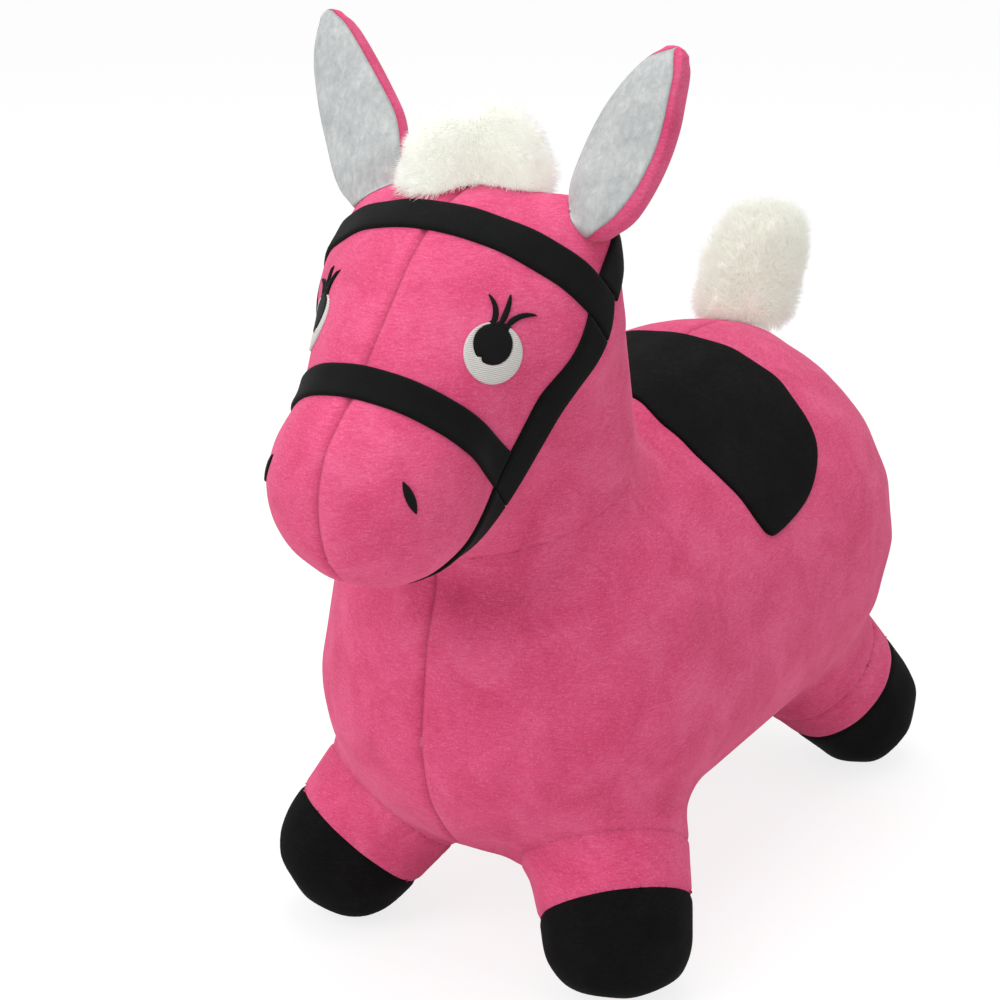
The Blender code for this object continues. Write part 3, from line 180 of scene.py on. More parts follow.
def plush(name, dark, main, light, bloom, sheen, patch=30 * mm, streak=(4.0, 4.0, 0.6)):
    """Short-pile plush: patches, streaks and flecks of pile over one dyed colour, with painted shade in the
    seams.
    """
    made, tree, shader = new_material(name)
    place = add_node(tree, "ShaderNodeTexCoord").outputs["Object"]
    along = add_node(tree, "ShaderNodeMapping", {"Vector": place, "Scale": tuple(1 / (s * mm) for s in streak)})
    streaks = noise(tree, along.outputs[0], 1.0, roughness=0.7, Distortion=0.5)
    patches = noise(tree, place, patch, roughness=0.55, Distortion=0.6)
    flecks = noise(tree, place, FLECK, detail=2.0)
    colour = ramp(tree, mixed(tree, 0.55, patches, streaks, "FLOAT"), (0.34, dark), (0.5, main), (0.66, light))
    catching = add_node(tree, "ShaderNodeMapRange", {"Value": flecks, 1: 0.5, 2: 0.8, 4: FLECKS_SHOW})
    colour = mixed(tree, catching.outputs[0], colour, linear(bloom))
    # Painted shade: beside the seams the colour goes towards a dim copy of the dark plush, as the crease's
    # shadow
    depth = add_node(tree, "ShaderNodeAttribute", attribute_name="seam").outputs["Fac"]
    painted_seam_shade = tuple(SEAM_SHADE_DARKNESS * c for c in linear(dark)[:3]) + (1.0,)
    feed(shader, {"Base Color": mixed(tree, maths(tree, "MULTIPLY", depth, SEAM_PAINTED_SHADE), colour, painted_seam_shade),
                  "Normal": bump(tree, mixed(tree, 0.4, streaks, flecks, "FLOAT"), 0.5 * mm, 0.5),
                  "Roughness": 1.0, "Specular IOR Level": 0.1, "Sheen Weight": sheen,
                  "Sheen Roughness": 0.5, "Sheen Tint": linear(bloom)})
    return made


pink_plush = plush("brushed pink polyester plush", "#C83F68", "#D94F7B", "#E3648D", "#FFC4D8", 0.18)
black_plush = plush("brushed black polyester plush", "#0A0A0B", "#0F0F10", "#171718", "#242427", 0.03)
white_plush = plush("brushed white polyester plush", "#A6A9AA", "#B6B9B9", "#C8CBCA", "#E0E2E1", 0.1,
                    patch=14 * mm, streak=(3.0, 3.0, 6.0))
print("plush in three colours")

# %% [markdown]
# ## The inflated body
# The cover's panels are cut flat and pulled round by the bladder, so the outside is one smooth, taut form.
# It could be sculpted again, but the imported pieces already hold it, in coarse facets. So their copies are
# remeshed into one skin of even cells, and the facets are relaxed away by smoothing in turns: one pass
# shrinks, the next swells, so that the form keeps its volume.


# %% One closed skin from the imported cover
GRAIN = 3.2 * mm
SMOOTH_PAIRS = 150
SHRINK, SWELL = 0.5, -0.51
COVER = sorted(n for n in frame["nodes"] if n.startswith(("cover_", "leg_sleeve_", "hoof_cover_")))


def add_modifier(owner, kind, **settings):
    """Add a modifier with its settings."""
    modifier = owner.modifiers.new(kind.lower(), kind)
    for name, value in settings.items():
        setattr(modifier, name, value)


def placed(name, data):
    """A new object in the scene."""
    made = bpy.data.objects.new(name, data)
    bpy.context.scene.collection.objects.link(made)
    return made


def evaluated(mesh, kind, *choices):
    """The mesh after one modifier for each dictionary of settings."""
    holder = placed("holder", mesh)
    for settings in choices:
        add_modifier(holder, kind, **settings)
    graph = bpy.context.evaluated_depsgraph_get()
    result = bpy.data.meshes.new_from_object(holder.evaluated_get(graph))
    bpy.data.objects.remove(holder)
    return result


def from_bmesh(shape):
    """A mesh from a bmesh, which is freed."""
    mesh = bpy.data.meshes.new("shape")
    shape.to_mesh(mesh)
    shape.free()
    return mesh


def to_bmesh(*meshes):
    """A bmesh with copies of meshes in it."""
    shape = bmesh.new()
    for mesh in meshes:
        shape.from_mesh(mesh)
    return shape


def add_block(shape, low, high):
    """Add a box between two corners."""
    middle, size = (low + high) / 2, high - low
    place = Matrix.Translation(middle) @ Matrix.Diagonal((*size, 1))
    bmesh.ops.create_cube(shape, size=1.0, matrix=place)


def outermost(shape):
    """Keep only the faces joined to the vertex furthest to the left."""
    start = max(shape.verts, key=lambda v: v.co.x)
    reached, edge_of_reach = {start}, [start]
    while edge_of_reach:
        here = edge_of_reach.pop()
        for edge in here.link_edges:
            there = edge.other_vert(here)
            if there not in reached:
                reached.add(there)
                edge_of_reach.append(there)
    bmesh.ops.delete(shape, geom=[v for v in shape.verts if v not in reached], context="VERTS")


def relax(points, edges, pairs):
    """Smooth points joined by edges, in turns that shrink and swell the form."""
    count = len(points)
    ends = np.concatenate([edges[:, 0], edges[:, 1]])
    others = np.concatenate([edges[:, 1], edges[:, 0]])
    degree = np.maximum(np.bincount(ends, minlength=count), 1)
    for step in (SHRINK, SWELL) * pairs:
        sums = np.stack([np.bincount(ends, weights=axis, minlength=count) for axis in points[others].T], 1)
        points = points + step * (sums / degree[:, None] - points)
    return points


def skin_of_animal():
    """The closed, smooth outer skin."""
    shape = to_bmesh(*(frame["nodes"][name].data for name in COVER + ["air_bladder"]))
    # The zip's slot and the eyelet's hole are plugged, so that the remesh doesn't reach inside
    for names, rise in ((("zip_tape_left", "zip_tape_right"), -0.5), (("valve_eyelet",), 1.5)):
        corners = [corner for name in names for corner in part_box(name)]
        low, high = (Vector(best(c[k] for c in corners) for k in range(3)) for best in (min, max))
        add_block(shape, low + Vector((-1, -1, rise)) * mm, high + Vector((1, 1, 3)) * mm)
    shape = to_bmesh(evaluated(from_bmesh(shape), "REMESH", {"mode": "VOXEL", "voxel_size": GRAIN}))
    outermost(shape)
    mesh = from_bmesh(shape)
    points = np.zeros(len(mesh.vertices) * 3)
    mesh.vertices.foreach_get("co", points)
    edges = np.zeros(len(mesh.edges) * 2, int)
    mesh.edges.foreach_get("vertices", edges)
    points = relax(points.reshape(-1, 3), edges.reshape(-1, 2), SMOOTH_PAIRS)
    points[:, 2] = np.maximum(points[:, 2], 0)
    mesh.vertices.foreach_set("co", points.ravel())
    mesh.update()
    return mesh


skin = skin_of_animal()
print("skin:", len(skin.vertices), "vertices, its top at",
      round(max(v.co.z for v in skin.vertices) / mm, 1), "mm")


# %% Looking for places on the skin
class Surface:
    """The skin as something that can be looked at along a ray, with smooth normals."""

    def __init__(self, mesh):
        shape = to_bmesh(mesh)
        bmesh.ops.triangulate(shape, faces=shape.faces)
        shape.verts.ensure_lookup_table()
        shape.faces.ensure_lookup_table()
        self.corners = [[v.index for v in face.verts] for face in shape.faces]
        self.points = [v.co.copy() for v in shape.verts]
        shape.normal_update()
        self.normals = [v.normal.copy() for v in shape.verts]
        self.tree = BVHTree.FromBMesh(shape)
        shape.free()

    def smooth_normal(self, point, face):
        """The normal at a point of a face, blended from its corners."""
        corners = self.corners[face]
        a, b, c = (self.points[k] - point for k in corners)
        shares = (b.cross(c).length, c.cross(a).length, a.cross(b).length)
        return sum((self.normals[k] * share for k, share in zip(corners, shares)), Vector()).normalized()

    def look(self, start, direction):
        """The first point met along a direction, and the smooth normal there."""
        point, _, face, _ = self.tree.ray_cast(start, direction)
        if point is None:
            return None, None
        return point, self.smooth_normal(point, face)

    def nearest(self, place):
        """The closest point, and the smooth normal there."""
        point, _, face, _ = self.tree.find_nearest(place)
        return point, self.smooth_normal(point, face)


print("a surface can be looked at along a ray, or asked for its nearest point")

# %% [markdown]
# ## Seams and panels
# The cover is sewn from mirrored halves: head, body, a short sleeve on each leg and a black sock for each
# hoof. A seam is turned inwards, so that the surface dips to a tight crease and puckers a little beside
# it. Cutting the skin with planes puts a line of vertices exactly on each seam; then the points near it
# sink, and each panel gets the cloth's thickness.

# %% Where the seams run, from the CAD
SEAM_SPREAD = 2.2 * mm
SEAM_CUTS, CUT_REACH = 2, 2.4 * SEAM_SPREAD
SHADE_WIDTH = 1.1 * mm
PUCKER_PITCH = 4.4 * mm
PUCKER_REACH = 5.0 * mm
GATHER_PITCH = 7.0 * mm
GATHER_REACH = 9.0 * mm
SINK_REACH = 4 * GATHER_REACH  # further from a seam the skin stays as it is
GATHER_DRIFT, DRIFT_ROUND, DRIFT_BACK = 3.0, 70, 60  # radians, and radians per metre
# Each kind of seam: its dip, the rise of its fine puckers, the rise of its gathers, and how much painted shade
# darkens it
SEAM_KINDS = {"middle": (1.9 * mm, 0.14 * mm, 0.0, 0.8), "neck": (0.6 * mm, 0.06 * mm, 0.0, 0.15),
              "sleeve": (0.8 * mm, 0.05 * mm, 0.28 * mm, 0.3), "hoof": (1.0 * mm, 0.0, 0.0, 0.0)}
CLOTH = 1.6 * mm
# How wide each part is, which turns an angle round it into a length along its seam
MIDDLE_RADIUS, NECK_RADIUS, LEG_RADIUS = 200 * mm, 75 * mm, 45 * mm
NECK_POINT, NECK_BOTTOM, NECK_MIDDLE = Vector((0, -157.8, 253.0)) * mm, 150 * mm, -100 * mm
NECK_UP = Vector((0, -math.sin(math.radians(18)), math.cos(math.radians(18))))
# Each leg: name, top, hoof middle, reach of its region, seam rise above the hoof, sleeve length
LEGS = (
    ("front", Vector((48, -69.8, 105)) * mm, Vector((87, -112.3, 42)) * mm, 57.1 * mm, 8 * mm, 30 * mm),
    ("rear", Vector((45, 165.2, 105)) * mm, Vector((79, 221.2, 42)) * mm, 52.4 * mm, 21 * mm, 26 * mm),
)


class LegSeams:
    """The two seams of one leg, as planes across its axis."""

    def __init__(self, row, side):
        name, top, hoof, self.reach, rise, sleeve = row
        flip = Vector((side, 1, 1))
        self.name = f"{name}_{'left' if side > 0 else 'right'}"
        self.hoof = hoof * flip
        self.axis = (self.hoof - top * flip).normalized()
        self.hoof_start = self.hoof - self.axis * rise
        self.sleeve_start = self.hoof_start - self.axis * sleeve
        self.across = self.axis.orthogonal().normalized()

    def place(self, point):
        """How far a point is past the sleeve's and the hoof's seams, if it is on this leg, its run round it."""
        past = (point - self.sleeve_start).dot(self.axis)
        middle = self.sleeve_start + self.axis * past
        off = point - middle
        turn = math.atan2(off.dot(self.axis.cross(self.across)), off.dot(self.across))
        return past, (point - self.hoof_start).dot(self.axis), off.length < self.reach, turn * LEG_RADIUS


leg_seams = [LegSeams(row, side) for row in LEGS for side in (1, -1)]
HOOF_SWELL, HOOF_SWELL_AT, HOOF_SWELL_SPREAD = 3.5 * mm, 18 * mm, 15 * mm
HOOF_TOP, HOOF_REACH, HOOF_CORE = 70 * mm, 62 * mm, 20 * mm
RUMP_SWELL, RUMP_SWELL_SPREAD = 6 * mm, 38 * mm
tail_joint = joint_place("tail_flop")


def stuffed_out(mesh, hoof):
    """The skin where more stuffing swells it: all round the left front hoof, and under the tail."""
    for vertex in mesh.vertices:
        out = Vector((vertex.co.x - hoof.x, vertex.co.y - hoof.y, 0))
        if vertex.co.z < HOOF_TOP and out.length < HOOF_REACH:
            rise = math.exp(-((vertex.co.z - HOOF_SWELL_AT) / HOOF_SWELL_SPREAD) ** 2)
            vertex.co += out.normalized() * HOOF_SWELL * rise * min(1.0, out.length / HOOF_CORE)
        away = (vertex.co - tail_joint).length / RUMP_SWELL_SPREAD
        vertex.co.z += RUMP_SWELL * math.exp(-away ** 2)


stuffed_out(skin, leg_seams[0].hoof)
body_skin = Surface(skin)
forehead = body_skin.look(Vector((0, -1, 0.36)), BACK)[0]
print("the forehead is at", [round(v / mm, 1) for v in forehead])


def panel_of(point):
    """The name of the panel that a point of the skin belongs to."""
    for leg in leg_seams:
        past_sleeve, past_hoof, near, _ = leg.place(point)
        if near and past_sleeve > 0:
            return ("hoof_sock_" if past_hoof > 0 else "leg_sleeve_plush_") + leg.name
    part = "head" if (point - NECK_POINT).dot(NECK_UP) > 0 else "body"
    return f"{part}_plush_{'left' if point.x > 0 else 'right'}"


def seam_near(point):
    """Distance to the nearest seam, how far along it the point is, and the kind of seam."""
    found = [(abs(point.x), math.atan2(point.z - MIDDLE_RADIUS, point.y) * MIDDLE_RADIUS, "middle")]
    on_leg = False
    for leg in leg_seams:
        past_sleeve, past_hoof, near, run = leg.place(point)
        if near:
            found += [(abs(past_sleeve), run, "sleeve"), (abs(past_hoof), run, "hoof")]
            on_leg = on_leg or past_sleeve > 0
    if not on_leg:
        run = math.atan2(point.x, point.y - NECK_MIDDLE) * NECK_RADIUS
        found.append((abs((point - NECK_POINT).dot(NECK_UP)), run, "neck"))
    return min(found)


def cut_along_seams(shape):
    """Put edges along every seam, and finer cells beside them."""
    def split(faces, point, normal):
        geometry = list({item for face in faces for item in (face, *face.edges, *face.verts)})
        bmesh.ops.bisect_plane(shape, geom=geometry, plane_co=point, plane_no=normal, dist=WELD)

    split(shape.faces, (0, 0, 0), LEFT)
    for leg in leg_seams:
        side = 1 if leg.axis.x > 0 else -1
        for start in (leg.sleeve_start, leg.hoof_start):
            near = [f for f in shape.faces
                    if leg.place(f.calc_center_median())[2] and f.calc_center_median().x * side > 0]
            split(near, start, leg.axis)
    split([f for f in shape.faces if f.calc_center_median().z > NECK_BOTTOM], NECK_POINT, NECK_UP)
    close = [e for e in shape.edges if seam_near((e.verts[0].co + e.verts[1].co) / 2)[0] < CUT_REACH]
    bmesh.ops.subdivide_edges(shape, edges=close, cuts=SEAM_CUTS, use_grid_fill=True)


def sink_seams(shape):
    """Draw the skin in along its seams, with puckers beside them."""
    shape.normal_update()
    # The "seam" layer holds painted shade: how far the plush's colour is darkened beside each seam
    depth = shape.verts.layers.float.new("seam")
    moves = []
    for vertex in shape.verts:
        distance, run, kind = seam_near(vertex.co)
        if distance > SINK_REACH:
            continue
        dip, pucker, gather, shade = SEAM_KINDS[kind]
        vertex[depth] = shade * math.exp(-(distance / SHADE_WIDTH) ** 2)
        dip *= math.exp(-(distance / SEAM_SPREAD) ** 2)
        ripple = pucker * math.exp(-distance / PUCKER_REACH) * math.cos(math.tau * run / PUCKER_PITCH)
        wave = math.cos(math.tau * run / GATHER_PITCH
                        + GATHER_DRIFT * math.sin(run * DRIFT_ROUND + vertex.co.y * DRIFT_BACK))
        ripple += gather * math.exp(-distance / GATHER_REACH) * wave
        moves.append((vertex, vertex.normal * (ripple * min(1, distance / mm) - dip)))
    for vertex, move in moves:
        vertex.co += move
        vertex.co.z = max(vertex.co.z, 0)


# %% Make the panels
PANEL_NODES = {"head_plush_": "cover_head_", "body_plush_": "cover_body_", "leg_sleeve_plush_": "leg_sleeve_",
               "hoof_sock_": "hoof_cover_"}
EYELET_HOLE = 14 * mm
SLOT_MARGIN, HOLE_DEPTH = Vector((0.3, 0.3, 12)) * mm, 24 * mm


def add_piece(name, mesh, material, body, replaced=()):
    """Put a finished mesh into the scene, on its body (or, when the body is not a name, where it already is)
    and standing for its CAD nodes.
    """
    mesh.name = name
    mesh.materials.clear()
    mesh.materials.append(material)
    mesh.shade_smooth()
    made = placed(name, mesh)
    if isinstance(body, str):
        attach(made, body)
    else:
        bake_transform(made)
    if replaced:
        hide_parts(*replaced)
    return made


def thickened(mesh, thickness):
    """The mesh with thickness inwards, as a closed solid."""
    return evaluated(mesh, "SOLIDIFY", {"thickness": thickness, "offset": -1.0})


def make_panels():
    """Cut the skin into its panels."""
    whole = to_bmesh(skin)
    cut_along_seams(whole)
    panels = {}
    for face in whole.faces:
        panels.setdefault(panel_of(face.calc_center_median()), []).append(face.index)
    sink_seams(whole)
    whole.faces.index_update()
    seamed, made = from_bmesh(whole), {}
    for name, faces in sorted(panels.items()):
        part, keep = to_bmesh(seamed), set(faces)
        bmesh.ops.delete(part, geom=[f for f in part.faces if f.index not in keep], context="FACES")
        made[name] = from_bmesh(part)
    return made


def opened(mesh, *cutters):
    """The mesh with closed shapes cut out of it."""
    tools = [placed("cutter", cutter) for cutter in cutters]
    result = evaluated(mesh, "BOOLEAN", *({"operation": "DIFFERENCE", "solver": "EXACT", "object": tool}
                                          for tool in tools))
    for tool in tools:
        bpy.data.objects.remove(tool)
    return result


def zip_and_valve_holes():
    """The slot under the zip and the round hole under the eyelet."""
    slot_shape, hole_shape = bmesh.new(), bmesh.new()
    (low, _), (_, high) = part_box("zip_tape_right"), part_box("zip_tape_left")
    add_block(slot_shape, low - SLOT_MARGIN, high + SLOT_MARGIN)
    low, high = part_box("valve_eyelet")
    bmesh.ops.create_cone(hole_shape, cap_ends=True, segments=64, radius1=EYELET_HOLE, radius2=EYELET_HOLE,
                          depth=HOLE_DEPTH, matrix=Matrix.Translation((low + high) / 2))
    return from_bmesh(slot_shape), from_bmesh(hole_shape)


panel_meshes = make_panels()
for name, mesh in panel_meshes.items():
    stem = next(s for s in PANEL_NODES if name.startswith(s))
    cloth = thickened(mesh, CLOTH)
    if stem == "body_plush_":
        cloth = opened(cloth, *zip_and_valve_holes())
    material, slot = (black_plush, "black_plush") if stem == "hoof_sock_" else (pink_plush, "plush")
    add_piece(name, cloth, material, "animal", [PANEL_NODES[stem] + name[len(stem):]])
print("panels:", {name: len(mesh.polygons) for name, mesh in panel_meshes.items()})

# %% [markdown]
# ## Laid-on pieces
# Straps, patches and embroidery all lie on the skin. Each is drawn flat, laid on the skin point by point,
# and raised by its thickness, rounded off towards its edges as sewn cloth and thread are. One function
# does the raising for all of them.


# %% Raise a sheet that lies on the skin
RIM_SHARE = 0.25  # of the thickness, left at the very edge


def raised(shape, normals, distances, lift, thickness, rounding):
    """A closed pad from an open sheet: flat below, rounded at the edges above."""
    shape.verts.ensure_lookup_table()
    shape.verts.index_update()
    copies = {}
    for vertex, normal, distance in zip(list(shape.verts), normals, distances):
        inset = min(max(distance, 0.0) / rounding, 1.0)
        top = thickness * (RIM_SHARE + (1 - RIM_SHARE) * math.sqrt(1 - (1 - inset) ** 2))
        copies[vertex] = shape.verts.new(vertex.co + normal * (lift + top))
        vertex.co = vertex.co + normal * lift
    flat = shape.loops.layers.uv.active

    def add_face(corners, like):
        for new, old in zip(shape.faces.new(corners).loops, like):
            new[flat].uv = old[flat].uv

    below = list(shape.faces)
    for face in below:
        add_face([copies[v] for v in face.verts], face.loops)
    for edge in [e for e in shape.edges if len(e.link_faces) == 1 and e.verts[0] in copies]:
        loop = edge.link_loops[0]
        a, b = loop.vert, loop.link_loop_next.vert
        add_face((a, b, copies[b], copies[a]), (loop, loop.link_loop_next, loop.link_loop_next, loop))
    bmesh.ops.reverse_faces(shape, faces=below)
    bmesh.ops.recalc_face_normals(shape, faces=shape.faces)


def quilt(shape, grid, runs, rows):
    """Quads over a grid of vertices, with their flat places: how far along, and how far across."""
    flat = shape.loops.layers.uv.new("flat")
    for k in range(len(grid) - 1):
        for j in range(len(rows) - 1):
            places = ((k, j), (k, j + 1), (k + 1, j + 1), (k + 1, j))
            face = shape.faces.new([grid[step][row] for step, row in places])
            for loop, (step, row) in zip(face.loops, places):
                loop[flat].uv = runs[step], rows[row]


print("laid-on pieces keep", RIM_SHARE, "of their thickness at the edge")

# %% [markdown]
# ## The bridle
# It is folded black polyester tape, 18 to 20 mm wide, sewn down along both edges. A flat band bent round
# the head could be cut from the skin with planes, but rays sent out from the middle of the head give
# tidier rows of quads, and a flat pattern (UV) for the weave. Real ribs are 0.5 mm apart, too fine to
# show, so they are drawn 1.2 mm apart, and 0.8 mm on the narrower tapes of the zip.


# %% Tape material
WAVE_LENGTH = 3.2  # a wave texture of scale 1 repeats about three times in a unit


def waves(tree, place, pitch, wander, detail_scale):
    """Parallel lines across X, each wandering a little."""
    values = {"Vector": place, "Scale": 1 / pitch / WAVE_LENGTH, "Distortion": wander, "Detail": 1.0,
              "Detail Scale": detail_scale}
    return add_node(tree, "ShaderNodeTexWave", values, bands_direction="X").outputs["Fac"]


def tape(name, main, light, rib):
    """Woven tape: ribs across it, with a paler bloom on each rib."""
    made, tree, shader = new_material(name)
    flat = add_node(tree, "ShaderNodeUVMap", uv_map="flat").outputs[0]
    ribs = waves(tree, flat, rib, 0.6, 2.0)
    fluff = noise(tree, flat, 6 * mm, detail=4.0)
    colour = ramp(tree, mixed(tree, 0.6, ribs, fluff, "FLOAT"), (0.3, main), (0.8, light))
    feed(shader, {"Base Color": colour, "Normal": bump(tree, ribs, 0.25 * mm, 0.5), "Roughness": 0.9,
                  "Specular IOR Level": 0.15, "Sheen Weight": 0.03, "Sheen Roughness": 0.4})
    return made


black_tape = tape("woven black polyester tape", "#060607", "#0F1011", 1.2 * mm)
zip_tape = tape("woven pink polyester zip tape", "#A8325A", "#C04A72", 0.8 * mm)
print("tape ribs every 1.2 mm, zip tape ribs every 0.8 mm")

# %% Straps laid round the head
# Each lies a little off the skin; beside its edges its rows and cuts are closer together, in mm
STRAP_LIFT = 0.1 * mm
STRAP_RISE = 2.1 * mm
STRAP_ROUND = 2.4 * mm
STRAP = 18 * mm
BROWBAND = 20 * mm
STRAP_STEPS = 150
MIDDLE_ROWS = 6
CHEEK_TILT = math.radians(29.6)
EDGE_ROWS = (0.0, 0.3, 0.8, 1.5, 2.6)
HEAD_MIDDLE, MUZZLE_MIDDLE = (Vector(place) * mm for place in ((0, -127.4, 345), (0, -172.4, 315)))
JOINT, NOSEBAND_HEIGHT = Vector((0, -124.8, 387.0)) * mm, 306.5 * mm
# The direction across each strap's band
CHEEK, BROW, NOSE, CROWN = (Vector((0, -math.cos(tilt), math.sin(tilt))) for tilt in (
    CHEEK_TILT, math.radians(-35), math.radians(-43.5), math.radians(52)))
CHEEK_RUN = Vector((0, -math.sin(CHEEK_TILT), -math.cos(CHEEK_TILT)))
NOSE_JOINT = JOINT + CHEEK_RUN * ((NOSEBAND_HEIGHT - JOINT.z) / CHEEK_RUN.z)
BUTT = 0.15 * mm  # the gap where one strap ends against another


def rows_across(width):
    """Places across a band, closer together at its edges."""
    edge = [row * mm - width / 2 for row in EDGE_ROWS]
    middle = list(np.linspace(edge[-1], -edge[-1], MIDDLE_ROWS))[1:-1]
    return edge + middle + [-row for row in reversed(edge)]


def lay_strap(name, on, normal, width, cuts, middle=HEAD_MIDDLE):
    """One strap: a band in a plane round the head, cut off by other planes (point, outward normal)."""
    shape = bmesh.new()
    centre = middle - normal * (middle - on).dot(normal)
    upward = normal.cross(LEFT)
    rows = rows_across(width)
    grid, runs, run, last = [], [], 0.0, None
    for k in range(STRAP_STEPS + 1):
        turn = math.tau * k / STRAP_STEPS
        direction = LEFT * math.sin(turn) - upward * math.cos(turn)
        hits = [body_skin.look(centre + normal * row, direction)[0] for row in rows]
        if last is not None:
            run += (hits[len(rows) // 2] - last).length
        last = hits[len(rows) // 2]
        runs.append(run)
        grid.append([shape.verts.new(hit) for hit in hits] if k < STRAP_STEPS else grid[0])
    quilt(shape, grid, runs, rows)
    for point, outward in cuts:
        for row in EDGE_ROWS:
            everything = shape.verts[:] + shape.edges[:] + shape.faces[:]
            bmesh.ops.bisect_plane(shape, geom=everything, plane_co=point - outward * row * mm,
                                   plane_no=outward, clear_outer=row == 0, dist=WELD)
    normals, distances = [], []
    for vertex in shape.verts:
        normals.append(body_skin.nearest(vertex.co)[1])
        edge = width / 2 - abs((vertex.co - on).dot(normal))
        distances.append(min([edge] + [(point - vertex.co).dot(outward) for point, outward in cuts]))
    raised(shape, normals, distances, STRAP_LIFT, STRAP_RISE, STRAP_ROUND)
    add_piece(name + "_tape", from_bmesh(shape), black_tape, "animal", [name])


lower_edge = NOSE_JOINT + NOSE * STRAP / 2
brow_edge = JOINT + BROW * BROWBAND / 2
lay_strap("browband", JOINT, BROW, BROWBAND, [(JOINT - CHEEK * STRAP / 2, -CHEEK)])
lay_strap("noseband", NOSE_JOINT, NOSE, STRAP, [(JOINT + CHEEK * (STRAP / 2 + BUTT), -CHEEK)], MUZZLE_MIDDLE)
for side_name, side in SIDES:
    lay_strap(f"cheek_strap_{side_name}", JOINT, CHEEK, STRAP,
              [(brow_edge + BROW * BUTT, -BROW), (lower_edge, NOSE), (Vector(), -side * LEFT)])
lay_strap("chin_strap", JOINT, CHEEK, STRAP, [(lower_edge + NOSE * BUTT, -NOSE)])
lay_strap("crown_strap", JOINT, CROWN, STRAP, [(JOINT - BROW * (BROWBAND / 2 + BUTT), BROW)])
print("bridle: six straps")

# %% [markdown]
# ## Patches and embroidery
# The saddle is a piece of black plush sewn flat on the back. Eyes, lashes and nostrils are satin stitch:
# threads laid side by side until they stand proud as one pad. Each is an outline in the flat, filled with
# triangles, and every corner is sent to the skin along a ray.


# %% Fill an outline and lay it on the skin
STITCH_RIMS = (0.25 * mm, 0.7 * mm)
TINY = 1e-18
RIM_KEEPS_OFF, GRID_KEEPS_OFF = 0.93, 0.45  # shares of a rim's inset and of the spacing


def filled(outline, spacing, rims, holes=()):
    """Triangles inside a closed outline, finer beside it: points, faces and each point's clearance."""
    rings = [np.array(outline, float)] + [np.array(hole, float) for hole in holes]
    starts = np.concatenate(rings)
    ends = np.concatenate([np.roll(ring, -1, 0) for ring in rings])

    def clearance(points):
        span = ends - starts
        length = np.maximum((span ** 2).sum(1), TINY)
        share = np.clip(((points[:, None] - starts) * span).sum(2) / length, 0, 1)
        return np.sqrt((((starts + share[..., None] * span) - points[:, None]) ** 2).sum(2)).min(1)

    def inside(points):
        x, y = points[:, 0, None], points[:, 1, None]
        crossing = (starts[:, 1] > y) != (ends[:, 1] > y)
        rise = np.where(ends[:, 1] == starts[:, 1], TINY, ends[:, 1] - starts[:, 1])
        at = starts[:, 0] + (y - starts[:, 1]) / rise * (ends[:, 0] - starts[:, 0])
        return ((crossing & (x < at)).sum(1) % 2) == 1

    extra = []
    for ring in rings:
        along = np.roll(ring, -1, 0) - np.roll(ring, 1, 0)
        across = np.stack([-along[:, 1], along[:, 0]], 1) / np.maximum(np.hypot(*along.T), 1e-12)[:, None]
        for rim in rims:
            for side in (1, -1):
                points = ring + across * rim * side
                extra.append(points[inside(points) & (clearance(points) > rim * RIM_KEEPS_OFF)])
    low, high = rings[0].min(0), rings[0].max(0)
    xs, ys = (np.arange(low[k], high[k], spacing) for k in (0, 1))
    grid = np.stack(np.meshgrid(xs, ys), -1).reshape(-1, 2)
    grid[:, 0] += np.where(np.round((grid[:, 1] - low[1]) / spacing) % 2 == 1, spacing / 2, 0)
    extra.append(grid[inside(grid) & (clearance(grid) > rims[-1] + spacing * GRID_KEEPS_OFF)])
    points = np.concatenate([*rings, *extra])
    borders, first = [], 0
    for ring in rings:
        borders += [(first + k, first + (k + 1) % len(ring)) for k in range(len(ring))]
        first += len(ring)
    places, _, faces, *_ = delaunay_2d_cdt([Vector(p) for p in points], borders, [], 2, WELD)
    places = np.array([tuple(p) for p in places])
    centres = np.array([places[list(face)].mean(0) for face in faces])
    kept = [list(face) for face, good in zip(faces, inside(centres)) if good]
    return places, kept, clearance(places)


def lay_patch(name, pattern, to_ray, material, replaced, *, lift, thickness, rounding):
    """A filled outline laid on the skin; to_ray gives each flat point's ray."""
    places, faces, clear = pattern
    shape = bmesh.new()
    flat = shape.loops.layers.uv.new("flat")
    corners, normals = [], []
    for place in places:
        point, normal = body_skin.look(*to_ray(place))
        corners.append(shape.verts.new(point))
        normals.append(normal)
    for face in faces:
        made = shape.faces.new([corners[k] for k in face])
        for loop, k in zip(made.loops, face):
            loop[flat].uv = places[k]
    keep = [k for k, v in enumerate(corners) if v.link_faces]
    bmesh.ops.delete(shape, geom=[v for v in shape.verts if not v.link_faces], context="VERTS")
    raised(shape, [normals[k] for k in keep], [clear[k] for k in keep], lift, thickness, rounding)
    add_piece(name, from_bmesh(shape), material, "animal", replaced)


def smooth_closed(points, steps):
    """A smooth closed line through points."""
    line, count = [], len(points)
    for k in range(count):
        before, start, end, after = (np.array(points[(k + j) % count], float) for j in (-1, 0, 1, 2))
        for step in range(steps):
            t = step / steps
            bend = (end - before) * t + (2 * before - 5 * start + 4 * end - after) * t ** 2
            line.append(start + (bend + (3 * start - 3 * end + after - before) * t ** 3) / 2)
    return line


print("a unit square filled at a tenth has", len(filled([(0, 0), (1, 0), (1, 1), (0, 1)], 0.1, [0.05])[1]),
      "triangles")

# %% The saddle
SADDLE_CORE_HEIGHT = 170 * mm
SADDLE_RADIUS = 121 * mm
SADDLE_REAR = 114.2 * mm
SADDLE_LENGTH = 115 * mm
SADDLE_DROP = math.radians(64)
